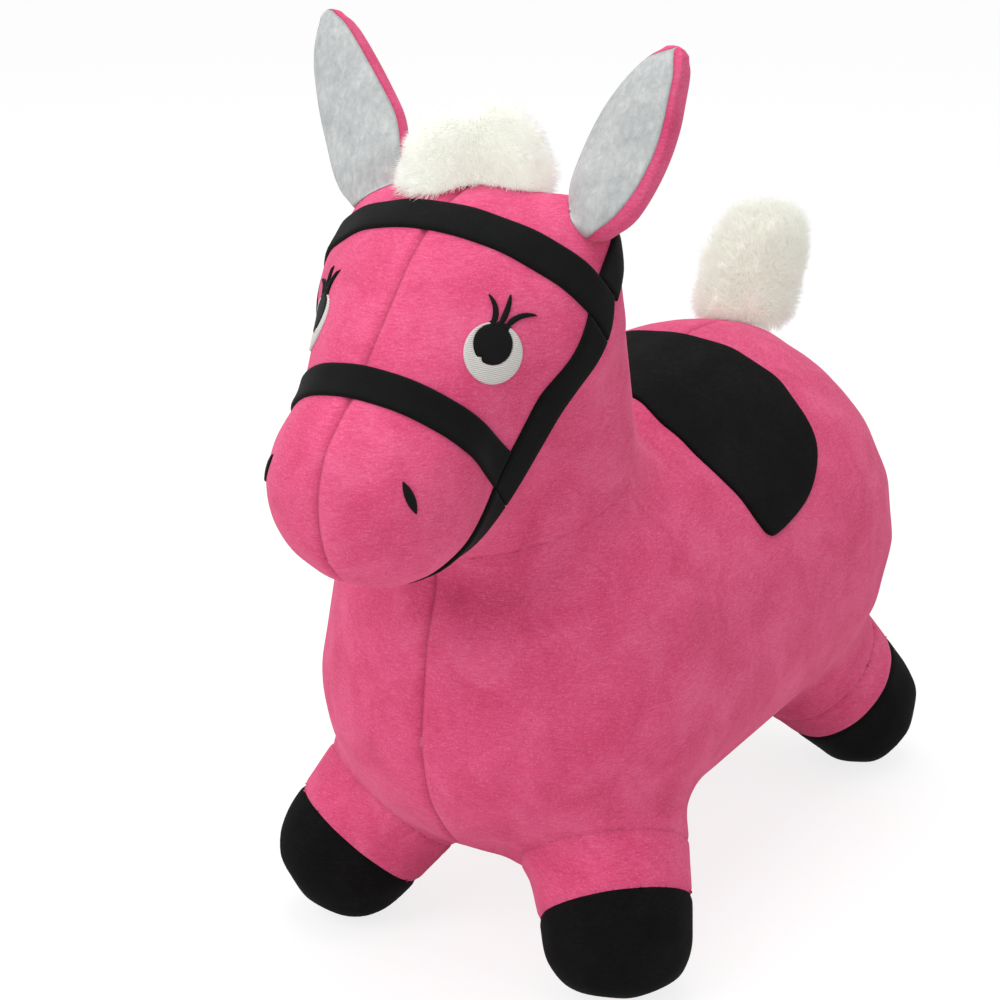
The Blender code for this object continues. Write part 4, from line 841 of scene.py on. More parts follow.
# Half of its outline: shares of the drop round the back and of the length from the rear
SADDLE_LINE = (
    (0.0, 0.0), (0.15, -0.01), (0.41, -0.01), (0.59, 0.035), (0.76, 0.113), (0.87, 0.257), (0.95, 0.47),
    (0.99, 0.76), (0.97, 0.85), (0.90, 0.89), (0.80, 0.92), (0.59, 0.99), (0.38, 0.98), (0.20, 0.90),
    (0.0, 0.86),
)
left_half = [(turn * SADDLE_DROP * SADDLE_RADIUS, SADDLE_REAR - place * SADDLE_LENGTH)
              for turn, place in SADDLE_LINE]
saddle_outline = smooth_closed(left_half + [(-x, y) for x, y in reversed(left_half) if x > 0], 10)


def saddle_ray(place):
    """From outside towards the barrel's core line."""
    turn = place[0] / SADDLE_RADIUS
    outward = Vector((math.sin(turn), 0, math.cos(turn)))
    start = Vector((0, place[1], SADDLE_CORE_HEIGHT)) + outward * 2 * SADDLE_RADIUS
    return start, -outward


lay_patch("saddle_plush", filled(saddle_outline, 4 * mm, (0.3 * mm, 0.8 * mm, 1.6 * mm)), saddle_ray,
          black_plush, ["saddle_patch"], lift=0.1 * mm, thickness=2.0 * mm, rounding=1.8 * mm)
print("saddle outline of", len(saddle_outline), "points")


# %% Thread material
THREAD_PITCH = 0.9 * mm


def thread(name, main, light, gloss, angle):
    """Satin stitch: shiny threads side by side, drawn twice as wide as the real 0.4 mm so that they show."""
    made, tree, shader = new_material(name)
    flat = add_node(tree, "ShaderNodeUVMap", uv_map="flat").outputs[0]
    turned = add_node(tree, "ShaderNodeMapping", {"Vector": flat, "Rotation": (0, 0, math.radians(angle))})
    lines = waves(tree, turned.outputs[0], THREAD_PITCH, 1.2, 1.5)
    feed(shader, {"Base Color": ramp(tree, lines, (0.1, main), (0.7, light)), "Roughness": 0.65,
                  "Normal": bump(tree, lines, 0.3 * mm, 0.6), "Specular IOR Level": gloss,
                  "Sheen Weight": 0.03})
    return made


white_thread = thread("satin-stitched white rayon thread", "#B4B1AC", "#DAD7D2", 0.35, 83)
black_thread = thread("satin-stitched black rayon thread", "#050506", "#101011", 0.1, 60)
print("thread in two colours, a line every", round(THREAD_PITCH / mm, 2), "mm")

# %% Eyes, lashes and nostrils
EYE_AT = Vector((51, 0, 373)) * mm
EYE_RADIUS = 14.8 * mm
PUPIL_RADIUS = 9.6 * mm
PUPIL_RISE = 4.2 * mm
EYE_TURN, EYE_TIP = math.radians(40), math.radians(12)
# Each lash: where it grows on the lid, which way it starts and how far it curls (degrees), and its size
LASH_ROWS = ((86, 60, 36, 0.91), (71.5, 55, 12, 0.99), (58, 47, -32, 1.07))
LASH_LENGTH = 14 * mm
LASH_WIDTH = 3.0 * mm
# Its width along it, both as shares
LASH_TAPER = ((0.0, 0.8), (0.15, 1.0), (0.3, 1.0), (0.45, 0.95), (0.6, 0.88), (0.75, 0.74), (0.9, 0.5),
              (1.0, 0.2))
LID_WIDTH, LID_DIP, LID_PAST = 0.4 * mm, 2.6 * mm, math.radians(8)
THREAD_RISE = 1.1 * mm
PUPIL_POINTS = 90
# The small bite low on the pupil's inner side
BITE_AT, BITE_WIDTH, BITE_DEPTH = math.radians(222), math.radians(6), 1.7 * mm
THREAD_ROUND = 0.9 * mm
NOSTRIL_AT = Vector((41, 0, 316)) * mm
NOSTRIL_HALF = (2.4 * mm, 8.5 * mm)
NOSTRIL_SLANT, NOSTRIL_POINTED = math.radians(18), 0.6
HELD_OFF = 30 * mm


def unit(turn):
    """The flat direction at an angle."""
    return np.array((math.cos(turn), math.sin(turn)))


def ring(radius, count):
    """A circle of points."""
    return [unit(math.tau * k / count) * radius for k in range(count)]


def pupil_line(radius):
    """The pupil's outline, with a small bite low on the inner side, where the eye's white thread shows."""
    points = []
    for k in range(PUPIL_POINTS):
        turn = math.tau * k / PUPIL_POINTS
        off = (turn - BITE_AT + math.pi) % math.tau - math.pi
        short = BITE_DEPTH * math.exp(-(off / BITE_WIDTH) ** 2)
        points.append(unit(turn) * (radius - short) + (0, PUPIL_RISE))
    return points


def lashes_line():
    """The lashes and the stitched lid line they grow from, as one outline."""
    inner, outer = EYE_RADIUS - LID_DIP, EYE_RADIUS + LID_WIDTH
    places = [math.radians(row[0]) for row in LASH_ROWS]
    first, last = places[0] + LID_PAST, places[-1] - LID_PAST
    points = [unit(t) * inner for t in np.linspace(last, first, 10)] + [unit(first) * outer]
    for k, (place, heading, curl, size) in enumerate(LASH_ROWS):
        place, heading, curl = (math.radians(v) for v in (place, heading, curl))
        if k > 0:
            points.append(unit((places[k - 1] + place) / 2) * outer)
        base = unit(place) * outer
        left, right = [], []
        for share, width in LASH_TAPER:
            turn = heading + curl * share
            middle = base + unit(turn) * LASH_LENGTH * size * share
            side = unit(turn + math.pi / 2) * LASH_WIDTH * width / 2
            left.append(middle + side)
            right.append(middle - side)
        points += left + right[::-1]
    return points + [unit(last) * outer]


def sight(at, out, up, across):
    """Rays for a flat drawing held before the skin: each place of it looks straight back."""
    return lambda place: (at + across * place[0] + up * place[1] + out * HELD_OFF, -out)


def stitch(piece, node, pattern, rays, rise=1.0, lift=0.05 * mm, rounding=THREAD_ROUND, colour="black"):
    """One embroidered pad."""
    material = white_thread if colour == "white" else black_thread
    lay_patch(piece, pattern, rays, material, [node], lift=lift,
              thickness=THREAD_RISE * rise, rounding=rounding)


for side_name, side in SIDES:
    at = body_skin.look(Vector((side * EYE_AT.x, -1, EYE_AT.z)), BACK)[0]
    out = Vector((side * math.sin(EYE_TURN), -math.cos(EYE_TURN), math.sin(EYE_TIP))).normalized()
    up = (UP - out * out.z).normalized()
    rays = sight(at, out, up, up.cross(out) * side)
    white = filled(ring(EYE_RADIUS, 72), 1.8 * mm, STITCH_RIMS, [pupil_line(PUPIL_RADIUS + 0.1 * mm)])
    stitch(f"eye_white_stitching_{side_name}", f"eye_white_{side_name}", white, rays, colour="white")
    pupil = filled(pupil_line(PUPIL_RADIUS), 1.8 * mm, STITCH_RIMS)
    stitch(f"pupil_stitching_{side_name}", f"pupil_{side_name}", pupil, rays, rise=1.15)
    lashes = filled(lashes_line(), 0.9 * mm, STITCH_RIMS[:1])
    stitch(f"lash_stitching_{side_name}", f"lashes_{side_name}", lashes, rays, rise=1.1, lift=0.2 * mm,
           rounding=0.7 * mm)
    at, out = body_skin.look(Vector((side * NOSTRIL_AT.x, -1, NOSTRIL_AT.z)), BACK)
    up = (UP - out * out.z).normalized()
    across = up.cross(out)
    slant = side * NOSTRIL_SLANT
    rays = sight(at, out, up * math.cos(slant) - across * math.sin(slant),
                 across * math.cos(slant) + up * math.sin(slant))
    leaf = [(x * NOSTRIL_HALF[0] * (1 - NOSTRIL_POINTED * abs(y) ** 3), y * NOSTRIL_HALF[1])
            for x, y in ring(1, 48)]
    stitch(f"nostril_stitching_{side_name}", f"nostril_{side_name}", filled(leaf, 1.2 * mm, STITCH_RIMS), rays)
print("embroidery on both sides of the face")

# %% [markdown]
# ## Ears
# Each ear is a stuffed pillow, pink behind and white in front, its root laid on the slope of the head. It is
# lofted from rings, each with a point on either seam, so that it parts cleanly into two plush shells.

# %% Ears
EAR_LENGTH = 87 * mm
EAR_WIDTH = 48 * mm
EAR_FRONT, EAR_BACK = 7 * mm, 21 * mm
EAR_ROOT = 8.5 * mm
EAR_REAR = math.radians(14)
# Each ear: its name, its side, how far it leans out and how far it turns inwards
EARS = (("left", 1, math.radians(20), math.radians(12)), ("right", -1, math.radians(26), math.radians(-8)))
# How each stuffed leaf bends away from a straight line, root to tip: place, then inwards, forwards and up in
# mm, and its half width as a share.
EAR_BENDS = {
    "left": ((-0.14, 2.6, 5, 0, 0.42), (-0.07, 2.3, 5, 0, 0.68), (0, 2, 5, 0, 0.88), (0.13, 2.1, 4.5, 0, 0.97),
             (0.28, 2.6, 3.5, 0, 1.0), (0.44, 3.2, 2.5, 0, 0.97), (0.6, 3.6, 2, 0, 0.85),
             (0.76, 4.2, 2, -0.5, 0.65), (0.89, 2.8, 2, -1, 0.46), (0.97, 1.6, 2, -1.5, 0.28),
             (1.0, 0.5, 2, -1.5, 0.06)),
    "right": ((-0.14, 8, 6, 0, 0.6), (-0.07, 8, 6, 0, 0.85), (0.0, 8, 6, 0, 0.95), (0.13, 8.5, 6, 0, 1.05),
              (0.28, 8, 4, 0, 1.07), (0.44, 4.5, 2, 0, 0.97), (0.6, 1.5, 0, 0.5, 0.83), (0.76, 0.5, 0, 1, 0.66),
              (0.89, 1.5, 0, 1.5, 0.45), (0.97, 2, 0, 1.5, 0.25), (1.0, 2, 0, 1.5, 0.05)),
}
# Where the lining is sewn in: place, then how many degrees in front of the edge, at +X and at -X
EAR_SEAMS = {
    "left": ((-0.14, 46, 5), (0.0, 42, 5), (0.13, 38, 5), (0.28, 34, 5), (0.44, 31, 5), (0.76, 34, 6),
             (0.88, 42, 14), (0.94, 62, 50), (0.97, 85, 85), (1.0, 90, 88)),
    "right": ((-0.14, 13, 4), (0.0, 12, 4), (0.44, 11, 4), (0.76, 13, 4), (0.89, 18, 5), (0.97, 34, 18),
              (1.0, 60, 45)),
}
# The root stays sewn to the head; add_piece gets these places below and above the hinge but does not bend the
# ear
EAR_BEND_BELOW, EAR_BEND_ABOVE = 6 * mm, 26 * mm
# Place, then the depth in front and behind as shares
EAR_DEPTHS = np.array((
    (-0.14, 1.0, 0.65), (0.0, 1.0, 0.75), (0.13, 0.95, 0.85), (0.28, 0.9, 0.95), (0.44, 0.85, 1.0),
    (0.6, 0.75, 1.0), (0.76, 0.62, 0.93), (0.89, 0.5, 0.74), (0.97, 0.35, 0.46), (1.0, 0.1, 0.1)))
# The rings: a few below the hinge, then the leaf's own, closer together towards the tip
EAR_ROOT_RINGS, EAR_RINGS, EAR_CROWDING, EAR_POINTS = 7, 48, 1.35, 72
EAR_FOOT, EAR_LAST_RING, EAR_ROOT_ENDS = -0.14, 0.97, 0.25
EAR_LIFT, EAR_CLOTH = 0.3 * mm, 1.4 * mm
BLUR, BLUR_STEPS = 0.07, 9


def ease(share):
    """From 0 to 1 without a corner."""
    share = min(max(share, 0.0), 1.0)
    return share * share * (3 - 2 * share)


def smooth_interp(place, places, values):
    """A value between the rows of a table, blurred so that no corner shows."""
    eased = float(np.interp(place + np.linspace(-BLUR, BLUR, BLUR_STEPS), places, values).mean())
    keep = min(1.0, (1 - place) / BLUR)
    return eased * keep + float(np.interp(place, places, values)) * (1 - keep)


def ear_ring(hinge, along, place, side, bends):
    """One ring of the ear: middle, half width, depth in front and depth behind."""
    fore, aft = (smooth_interp(place, EAR_DEPTHS[:, 0], EAR_DEPTHS[:, k]) for k in (1, 2))
    inward, forward, up, width = (smooth_interp(place, bends[:, 0], bends[:, k]) for k in (1, 2, 3, 4))
    fore = EAR_ROOT + (EAR_FRONT * fore - EAR_ROOT) * ease(place / EAR_ROOT_ENDS)
    middle = hinge + along * place * EAR_LENGTH + Vector((-side * inward, -forward, up)) * mm
    return middle, EAR_WIDTH / 2 * width, fore, EAR_BACK * aft


def bridged(shape, low, high):
    """The quads between two closed rings of vertices."""
    steps = [(k, (k + 1) % len(low)) for k in range(len(low))]
    return [shape.faces.new((low[k], low[after], high[after], high[k])) for k, after in steps]


def make_ear(side_name, side, lean_out, toe_in):
    """Both shells of one ear. The rings start inside the head; what is under the skin is laid on it."""
    hinge = joint_place(f"ear_{side_name}_flop")
    along = Vector((side * math.tan(lean_out), math.tan(EAR_REAR), 1)).normalized()
    across = Vector((math.cos(toe_in), -side * math.sin(toe_in), 0))
    across = (across - along * across.dot(along)).normalized()
    front = across.cross(along)
    bend = ("animal", f"ear_{side_name}", hinge - along * EAR_BEND_BELOW, hinge + along * EAR_BEND_ABOVE)
    bends, seams = np.array(EAR_BENDS[side_name]), np.array(EAR_SEAMS[side_name])
    half = EAR_POINTS // 2
    shape = bmesh.new()
    shade = shape.verts.layers.float.new("seam")
    loops = []
    for place in [*np.linspace(EAR_FOOT, -0.01, EAR_ROOT_RINGS),
                  *(1 - (1 - np.linspace(0, EAR_LAST_RING, EAR_RINGS)) ** EAR_CROWDING)]:
        middle, reach, fore, aft = ear_ring(hinge, along, place, side, bends)
        start, end = (math.radians(smooth_interp(place, seams[:, 0], seams[:, k])) for k in (1, 2))
        turns = [*np.linspace(start, math.pi - end, half + 1)[:-1],
                 *np.linspace(math.pi - end, math.tau + start, half + 1)[:-1]]
        loop = []
        for turn in turns:
            depth = fore if math.sin(turn) > 0 else aft
            point = middle + across * reach * math.cos(turn) + front * depth * math.sin(turn)
            ground, up = body_skin.nearest(point)
            if not loops or (point - ground).dot(up) < EAR_LIFT:
                point = ground + up * EAR_LIFT
            loop.append(shape.verts.new(point))
        # Painted shade along both seams of the ear: the "seam" layer darkens the plush there
        for vertex in loop:
            away = min((vertex.co - loop[k].co).length for k in (0, half))
            vertex[shade] = math.exp(-(away / SHADE_WIDTH) ** 2)
        loops.append(loop)
    for low, high in zip(loops, loops[1:]):
        for k, face in enumerate(bridged(shape, low, high)):
            face.material_index = int(k < half)
    foot, up = body_skin.nearest(hinge)
    tip = ear_ring(hinge, along, 1.0, side, bends)[0]
    for loop, end in ((loops[0], foot + up * EAR_LIFT), (loops[-1], tip)):
        point = shape.verts.new(end)
        for k in range(EAR_POINTS):
            shape.faces.new((point, loop[k], loop[(k + 1) % EAR_POINTS])).material_index = int(k < half)
    bmesh.ops.recalc_face_normals(shape, faces=shape.faces)
    whole = from_bmesh(shape)
    for number, (part, material, slot) in enumerate((("back", pink_plush, "plush"),
                                                     ("lining", white_plush, "white_plush"))):
        shell = to_bmesh(whole)
        bmesh.ops.delete(shell, geom=[f for f in shell.faces if f.material_index != number], context="FACES")
        for face in shell.faces:
            face.material_index = 0
        mesh = thickened(from_bmesh(shell), EAR_CLOTH)
        nodes = [f"ear_{part}_{side_name}"] + ([f"ear_stuffing_{side_name}"] if part == "back" else [])
        piece = add_piece(f"ear_{part}_plush_{side_name}", mesh, material, bend, nodes)


for ear in EARS:
    make_ear(*ear)
print("ears: two shells each")

# %% [markdown]
# ## Faux fur
# The mane and tail are long-pile faux fur: acrylic fibres some 15 mm long, which lie together in soft locks.
# Hair curves don't leave Blender with the model, so each tuft of fibres is a fine tapered strand of mesh.
# Thousands of them grow from a woolly core, as the dense underfur does, so that no dark gaps show between
# them. Strands lean towards their neighbours' tips, which draws the locks together.


# %% Fur material
def fur_material(name, root, main, glow):
    """Long white acrylic fibres: pale, soft with light that passes through, and never dark between them:
    a faint glow stands for light that is scattered from fibre to fibre more often than a render follows."""
    made, tree, shader = new_material(name)
    place = add_node(tree, "ShaderNodeTexCoord").outputs["Object"]
    clumps = noise(tree, place, 7 * mm)
    feed(shader, {"Base Color": ramp(tree, clumps, (0.35, root), (0.6, main)), "Roughness": 0.8,
                  "Normal": bump(tree, clumps, 1.0 * mm, 0.3), "Specular IOR Level": 0.2,
                  "Sheen Weight": 0.35, "Sheen Roughness": 0.4, "Subsurface Weight": 0.35,
                  "Subsurface Radius": (1, 1, 1), "Subsurface Scale": 4 * mm,
                  "Emission Color": linear(main), "Emission Strength": glow})
    return made


# Both furs glow a little as painted light; the tail's copy is painted darker and glows less, as painted shade
# for the rump's shadow
mane_fur = fur_material("long-pile white acrylic fur", "#F6F7EE", "#FEFEF8", 0.22)
tail_fur = fur_material("long-pile white acrylic fur, in the shade of the rump", "#F2F3E8", "#FCFCF4", 0.15)
print("fur in two whites")

# %% Strands
STRANDS = 19500  # of each tuft
STRAND_SIDES = 3
STRAND_RINGS = (0.0, 0.55)
STRAND_THIN, STRAND_THICK, STRAND_TAPER = 0.11 * mm, 0.19 * mm, 0.6
# A strand's heading wanders, and its tip is drawn towards that of the nearest leader
HEADING_WANDER, LEADERS, LOCK, LOCK_LEAST, LOCK_APART = 0.22, 1300, 0.4, 0.4, 0.35
TIP_CLEAR, BOW, BOW_WANDER = 0.8 * mm, 1.2 * mm, 0.8 * mm
AT_ONCE = 40  # the search for the nearest leader is cut into this many parts, to save memory


def strands(roots, tips, bends, radius):
    """Tapered strands from roots to tips, each bowed by its bend, as one mesh."""
    count = len(roots)
    direction = tips - roots
    direction = direction / np.linalg.norm(direction, axis=1, keepdims=True)
    helper = np.where(np.abs(direction[:, 2:3]) < 0.9, [[0, 0, 1.0]], [[1.0, 0, 0]])
    side = np.cross(direction, helper)
    side /= np.linalg.norm(side, axis=1, keepdims=True)
    other = np.cross(direction, side)
    rows = []
    for share in STRAND_RINGS:
        middle = roots + (tips - roots) * share + bends * (4 * share * (1 - share))
        thick = radius[:, None] * (1 - STRAND_TAPER * share)
        for k in range(STRAND_SIDES):
            turn = math.tau * k / STRAND_SIDES
            rows.append(middle + (side * math.cos(turn) + other * math.sin(turn)) * thick)
    rows.append(tips)
    points = np.stack(rows, 1).reshape(-1, 3)
    per = len(rows)
    faces = [(2, 1, 0)]
    for ring_number in range(len(STRAND_RINGS) - 1):
        for k in range(STRAND_SIDES):
            a, b = ring_number * STRAND_SIDES + k, ring_number * STRAND_SIDES + (k + 1) % STRAND_SIDES
            faces += [(a, b, b + STRAND_SIDES), (a, b + STRAND_SIDES, a + STRAND_SIDES)]
    top = (len(STRAND_RINGS) - 1) * STRAND_SIDES
    faces += [(top + k, top + (k + 1) % STRAND_SIDES, per - 1) for k in range(STRAND_SIDES)]
    faces = (np.array(faces)[None] + np.arange(count)[:, None, None] * per).reshape(-1, 3)
    mesh = bpy.data.meshes.new("strands")
    mesh.from_pydata(points.tolist(), [], faces.tolist())
    return mesh


def scattered(mesh, count, lowest):
    """Random points on a mesh, even by area, with their normals. Faces that look further down stay bare."""
    mesh.calc_loop_triangles()
    points = np.array([v.co for v in mesh.vertices])
    normals = np.array([v.normal for v in mesh.vertices])
    triangles = np.array([t.vertices for t in mesh.loop_triangles])
    a, b, c = (points[triangles[:, k]] for k in range(3))
    cross = np.cross(b - a, c - a)
    area = np.linalg.norm(cross, axis=1)
    area *= cross[:, 2] / np.maximum(area, 1e-12) > lowest
    chosen = triangles[dice.choice(len(area), count, p=area / area.sum())]
    u, v = dice.uniform(0, 1, (2, count))
    u, v = np.where(u + v > 1, 1 - u, u), np.where(u + v > 1, 1 - v, v)
    weights = np.stack([1 - u - v, u, v], 1)[:, :, None]
    return (points[chosen] * weights).sum(1), (normals[chosen] * weights).sum(1)


def grow_fur(name, core, comb, body, material, replaced, *, lowest, length, droop):
    """A woolly core with strands combed over it, drawn together in locks. comb gives each one's heading."""
    roots, normals = scattered(core, STRANDS, lowest)
    headings = comb(roots, normals) + dice.normal(0, HEADING_WANDER, (STRANDS, 3))
    headings /= np.linalg.norm(headings, axis=1, keepdims=True)
    tips = roots + headings * dice.uniform(*length, STRANDS)[:, None]
    leaders = dice.choice(STRANDS, LEADERS, replace=False)
    nearest = np.concatenate([((part[:, None] - roots[leaders]) ** 2).sum(2).argmin(1)
                              for part in np.array_split(roots, AT_ONCE)])
    lead = leaders[nearest]
    gathered = tips[lead] + (roots - roots[lead]) * LOCK_APART
    tips += (gathered - tips) * LOCK * dice.uniform(LOCK_LEAST, 1.0, STRANDS)[:, None]
    for k, tip in enumerate(tips):
        point, normal = body_skin.nearest(Vector(tip))
        if (Vector(tip) - point).dot(normal) < TIP_CLEAR:
            tips[k] = point + normal * TIP_CLEAR
    bends = dice.normal(0, BOW_WANDER, (STRANDS, 3)) + normals * BOW
    tips[:, 2] -= droop
    radius = dice.uniform(STRAND_THIN, STRAND_THICK, STRANDS)
    add_piece(name + "_underfur", core, material, body)
    locks = strands(roots - normals * mm, tips, bends, radius)
    add_piece(name + "_fur", locks, material, body, replaced)


print("each strand has", STRAND_SIDES, "sides, and every", STRANDS // LEADERS, "strands make a lock")


# %% The mane
MANE_CORE = 0.8
MANE_LUMPS = ((0.2, 0.55, 3.0), (0.03, 0.16, 5.0))  # height, size and seed
mane_low, mane_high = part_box("mane_tuft")
mane_middle = (mane_low + mane_high) / 2
mane_half = (mane_high - mane_low) / 2
MANE_TOP = mane_high.z + 4 * mm
MANE_FOOT = 438 * mm
# The mound stands off centre, its left half narrower and swept back, and bare in front
MANE_SHIFT, MANE_SWEEP, MANE_LEFT = 5 * mm, 0.4, 0.86
MANE_BARE, BARE_FROM, BARE_WIDTH = 0.85, -0.35, 0.7
# How much of a strand's heading is off the mound, out over its rim, and forwards
MANE_COMB = (0.5, 0.4, np.array((0.0, -0.4, -0.12)))
MANE_KNIT = 0.7  # the backing's share of the mound's plan
SKY = 0.6  # rays look down from this height


def lumpy(point, lumps):
    """A size of about 1 with soft random lumps."""
    return sum((height * mathutils_noise.noise(point / size + Vector((seed, 0, 0)))
                for height, size, seed in lumps), 1)


def mane_place(x, y):
    """A place of the mound's plan, from x and y between -1 and 1."""
    bare = 1 - MANE_BARE * max(0.0, -y) * ease((x - BARE_FROM) / BARE_WIDTH)
    across = x * mane_half.x * (MANE_LEFT if x > 0 else 1) - MANE_SHIFT
    return across, y * mane_half.y * bare + MANE_SWEEP * max(0.0, x) * mane_half.x


def mane_core():
    """The dense underfur of the mane: a lumpy mound standing on the head."""
    shape = bmesh.new()
    bmesh.ops.create_icosphere(shape, subdivisions=5, radius=1.0)
    for vertex in shape.verts:
        lump = lumpy(vertex.co, MANE_LUMPS)
        x, y = (value * MANE_CORE * lump for value in mane_place(vertex.co.x, vertex.co.y))
        z = MANE_FOOT + vertex.co.z * (MANE_TOP - MANE_FOOT) * MANE_CORE * lump
        ground = body_skin.look(Vector((x, mane_middle.y + y, SKY)), DOWN)[0].z
        vertex.co = (x, mane_middle.y + y, max(z, ground + 0.3 * mm))
    return from_bmesh(shape)


def mane_comb(roots, normals):
    """Outwards over the rim, and forwards over the brow."""
    out = roots - np.array(mane_middle)
    out[:, 2] = 0
    out /= np.maximum(np.linalg.norm(out, axis=1, keepdims=True), mm)
    up, outwards, forwards = MANE_COMB
    return normals * up + out * outwards + forwards


strip = [[MANE_KNIT * value for value in mane_place(x, y)] for x, y in ring(1, 60)]
lay_patch("mane_backing_knit", filled(strip, 4 * mm, (0.4 * mm,)),
          lambda place: (Vector((place[0], mane_middle.y + place[1], SKY)), DOWN), white_plush,
          ["mane_backing"], lift=0.05 * mm, thickness=1.0 * mm, rounding=0.8 * mm)
grow_fur("mane", mane_core(), mane_comb, "animal", mane_fur, ["mane_tuft"], lowest=-0.35,
         length=(5 * mm, 12 * mm), droop=0.5 * mm)
print("mane:", STRANDS, "strands")

# %% The tail: a sewn patch, a cloth core and the brush round it
TAIL_LENGTH = 79 * mm
TAIL_HALF = 32 * mm
TAIL_CORE = 0.87
TAIL_BEND = 42 * mm
TAIL_LEAN = math.radians(3)
TAIL_SWAY = Vector((16, 0, 0)) * mm
# The brush: share of the length, share of its half width. The cloth core: share of the length, radius in mm
TAIL_LINE = np.array(((0.02, 0.22), (0.02, 0.55), (0.05, 0.8), (0.14, 0.96), (0.3, 1.0), (0.5, 0.98),
                      (0.68, 0.91), (0.82, 0.82), (0.91, 0.7), (0.96, 0.54), (0.99, 0.3), (1.0, 0.04)))
TAIL_CLOTH = np.array(((-0.09, 2.5), (-0.07, 5.6), (-0.03, 7.7), (0.0, 8.0), (0.34, 6.5), (0.66, 5.0),
                       (0.68, 3.0)))
TAIL_LUMPS = ((0.07, 0.5, 9.0), (0.035, 0.18, 2.0))  # height, size and seed
BRUSH_FROM, BRUSH_SPAN, BRUSH_ROWS, BRUSH_AROUND = 0.02, 0.91, 60, 84
CLOTH_ROWS, CLOTH_AROUND = 24, 40
LENGTH_WEIGHT = 2.3  # how much a step along counts beside a step in radius, when rows are spaced
ROOT_SHARE, TAIL_COMB_UP, TAIL_COMB_DOWN = 0.3, 0.6, 1.3
tail_up = Vector((0, math.sin(TAIL_LEAN), math.cos(TAIL_LEAN)))
tail_back = tail_up.cross(LEFT)
tail_root, tail_normal = body_skin.nearest(tail_joint)


def turned(line, radius_scale, around, lumps):
    """A closed solid of revolution about the tail: line rows are share of the length, radius."""
    shape = bmesh.new()
    loops = []
    for share, radius in line:
        loop = []
        for k in range(around):
            turn = math.tau * k / around
            size = lumpy(Vector((math.cos(turn), math.sin(turn), share * 2)), lumps)
            out = LEFT * math.cos(turn) + tail_back * math.sin(turn)
            loop.append(shape.verts.new(tail_joint + tail_up * share * TAIL_LENGTH + TAIL_SWAY * (share - 0.5)
                                        + out * radius * radius_scale * size))
        loops.append(loop)
    for low, high in zip(loops, loops[1:]):
        bridged(shape, low, high)
    shape.faces.new(loops[0])
    shape.faces.new(loops[-1])
    bmesh.ops.recalc_face_normals(shape, faces=shape.faces)
    return from_bmesh(shape)


def even_rows(line, count):
    """More rows along a line of (share, radius)."""
    steps = np.concatenate([[0], np.cumsum(np.hypot(np.diff(line[:, 0]) * LENGTH_WEIGHT, np.diff(line[:, 1])))])
    at = np.linspace(0, steps[-1], count)
    return list(zip(np.interp(at, steps, line[:, 0]), np.interp(at, steps, line[:, 1])))


def tail_comb(roots, normals):
    """Upwards along the tail and a little outwards, but down over the root."""
    up = np.array(tail_up)
    along = (roots - np.array(tail_joint)) @ up / TAIL_LENGTH
    low = np.clip((ROOT_SHARE - along) / ROOT_SHARE, 0, 1)[:, None]
    return normals * 0.5 + up * (TAIL_COMB_UP - TAIL_COMB_DOWN * low)


lay_patch("tail_patch_plush", filled(ring(17 * mm, 60), 3 * mm, (0.3 * mm, 0.8 * mm)),
          sight(tail_root, tail_normal, tail_normal.cross(LEFT), LEFT), pink_plush, ["tail_patch"],
          lift=0.05 * mm, thickness=1.0 * mm, rounding=0.9 * mm)
add_piece("tail_core_cloth", turned(even_rows(TAIL_CLOTH / (1, 1000), CLOTH_ROWS), 1.0, CLOTH_AROUND, ()),
          pink_plush, "tail", ["tail_core"])
brush = [(BRUSH_FROM + BRUSH_SPAN * share, radius)
         for share, radius in even_rows(TAIL_LINE * (1, TAIL_HALF), BRUSH_ROWS)]
tail_bend = ("animal", "tail", tail_joint, tail_joint + tail_up * TAIL_BEND)
grow_fur("tail", turned(brush, TAIL_CORE, BRUSH_AROUND, TAIL_LUMPS), tail_comb, tail_bend, tail_fur,
         ["tail_tuft"], lowest=-0.95, length=(5 * mm, 11 * mm), droop=0.0)
print("tail:", STRANDS, "strands, standing", round(TAIL_LENGTH / mm), "mm high")

# %% [markdown]
# ## Under the belly
# A nylon zip closes the cover, and behind it an eyelet lets the pump reach the bladder's valve. These hard
# pieces come from the CAD as they are; a fine bevel takes the sharpness off their moulded or stamped edges.


# %% Zip, valve and bladder
def smooth_solid(name, first, second, size, roughness, metallic=0.0, waviness=0.03 * mm):
    """A moulded, cast or plated finish: two close shades, uneven gloss and faint waviness."""
    made, tree, shader = new_material(name)
    place = add_node(tree, "ShaderNodeTexCoord").outputs["Object"]
    cloud = noise(tree, place, size)
    gloss = add_node(tree, "ShaderNodeMapRange", {"Value": cloud, 3: roughness * 0.8, 4: roughness * 1.25})
    feed(shader, {"Base Color": ramp(tree, cloud, (0.35, first), (0.65, second)), "Metallic": metallic,
                  "Roughness": gloss.outputs[0], "Normal": bump(tree, cloud, waviness, 0.5)})
    return made


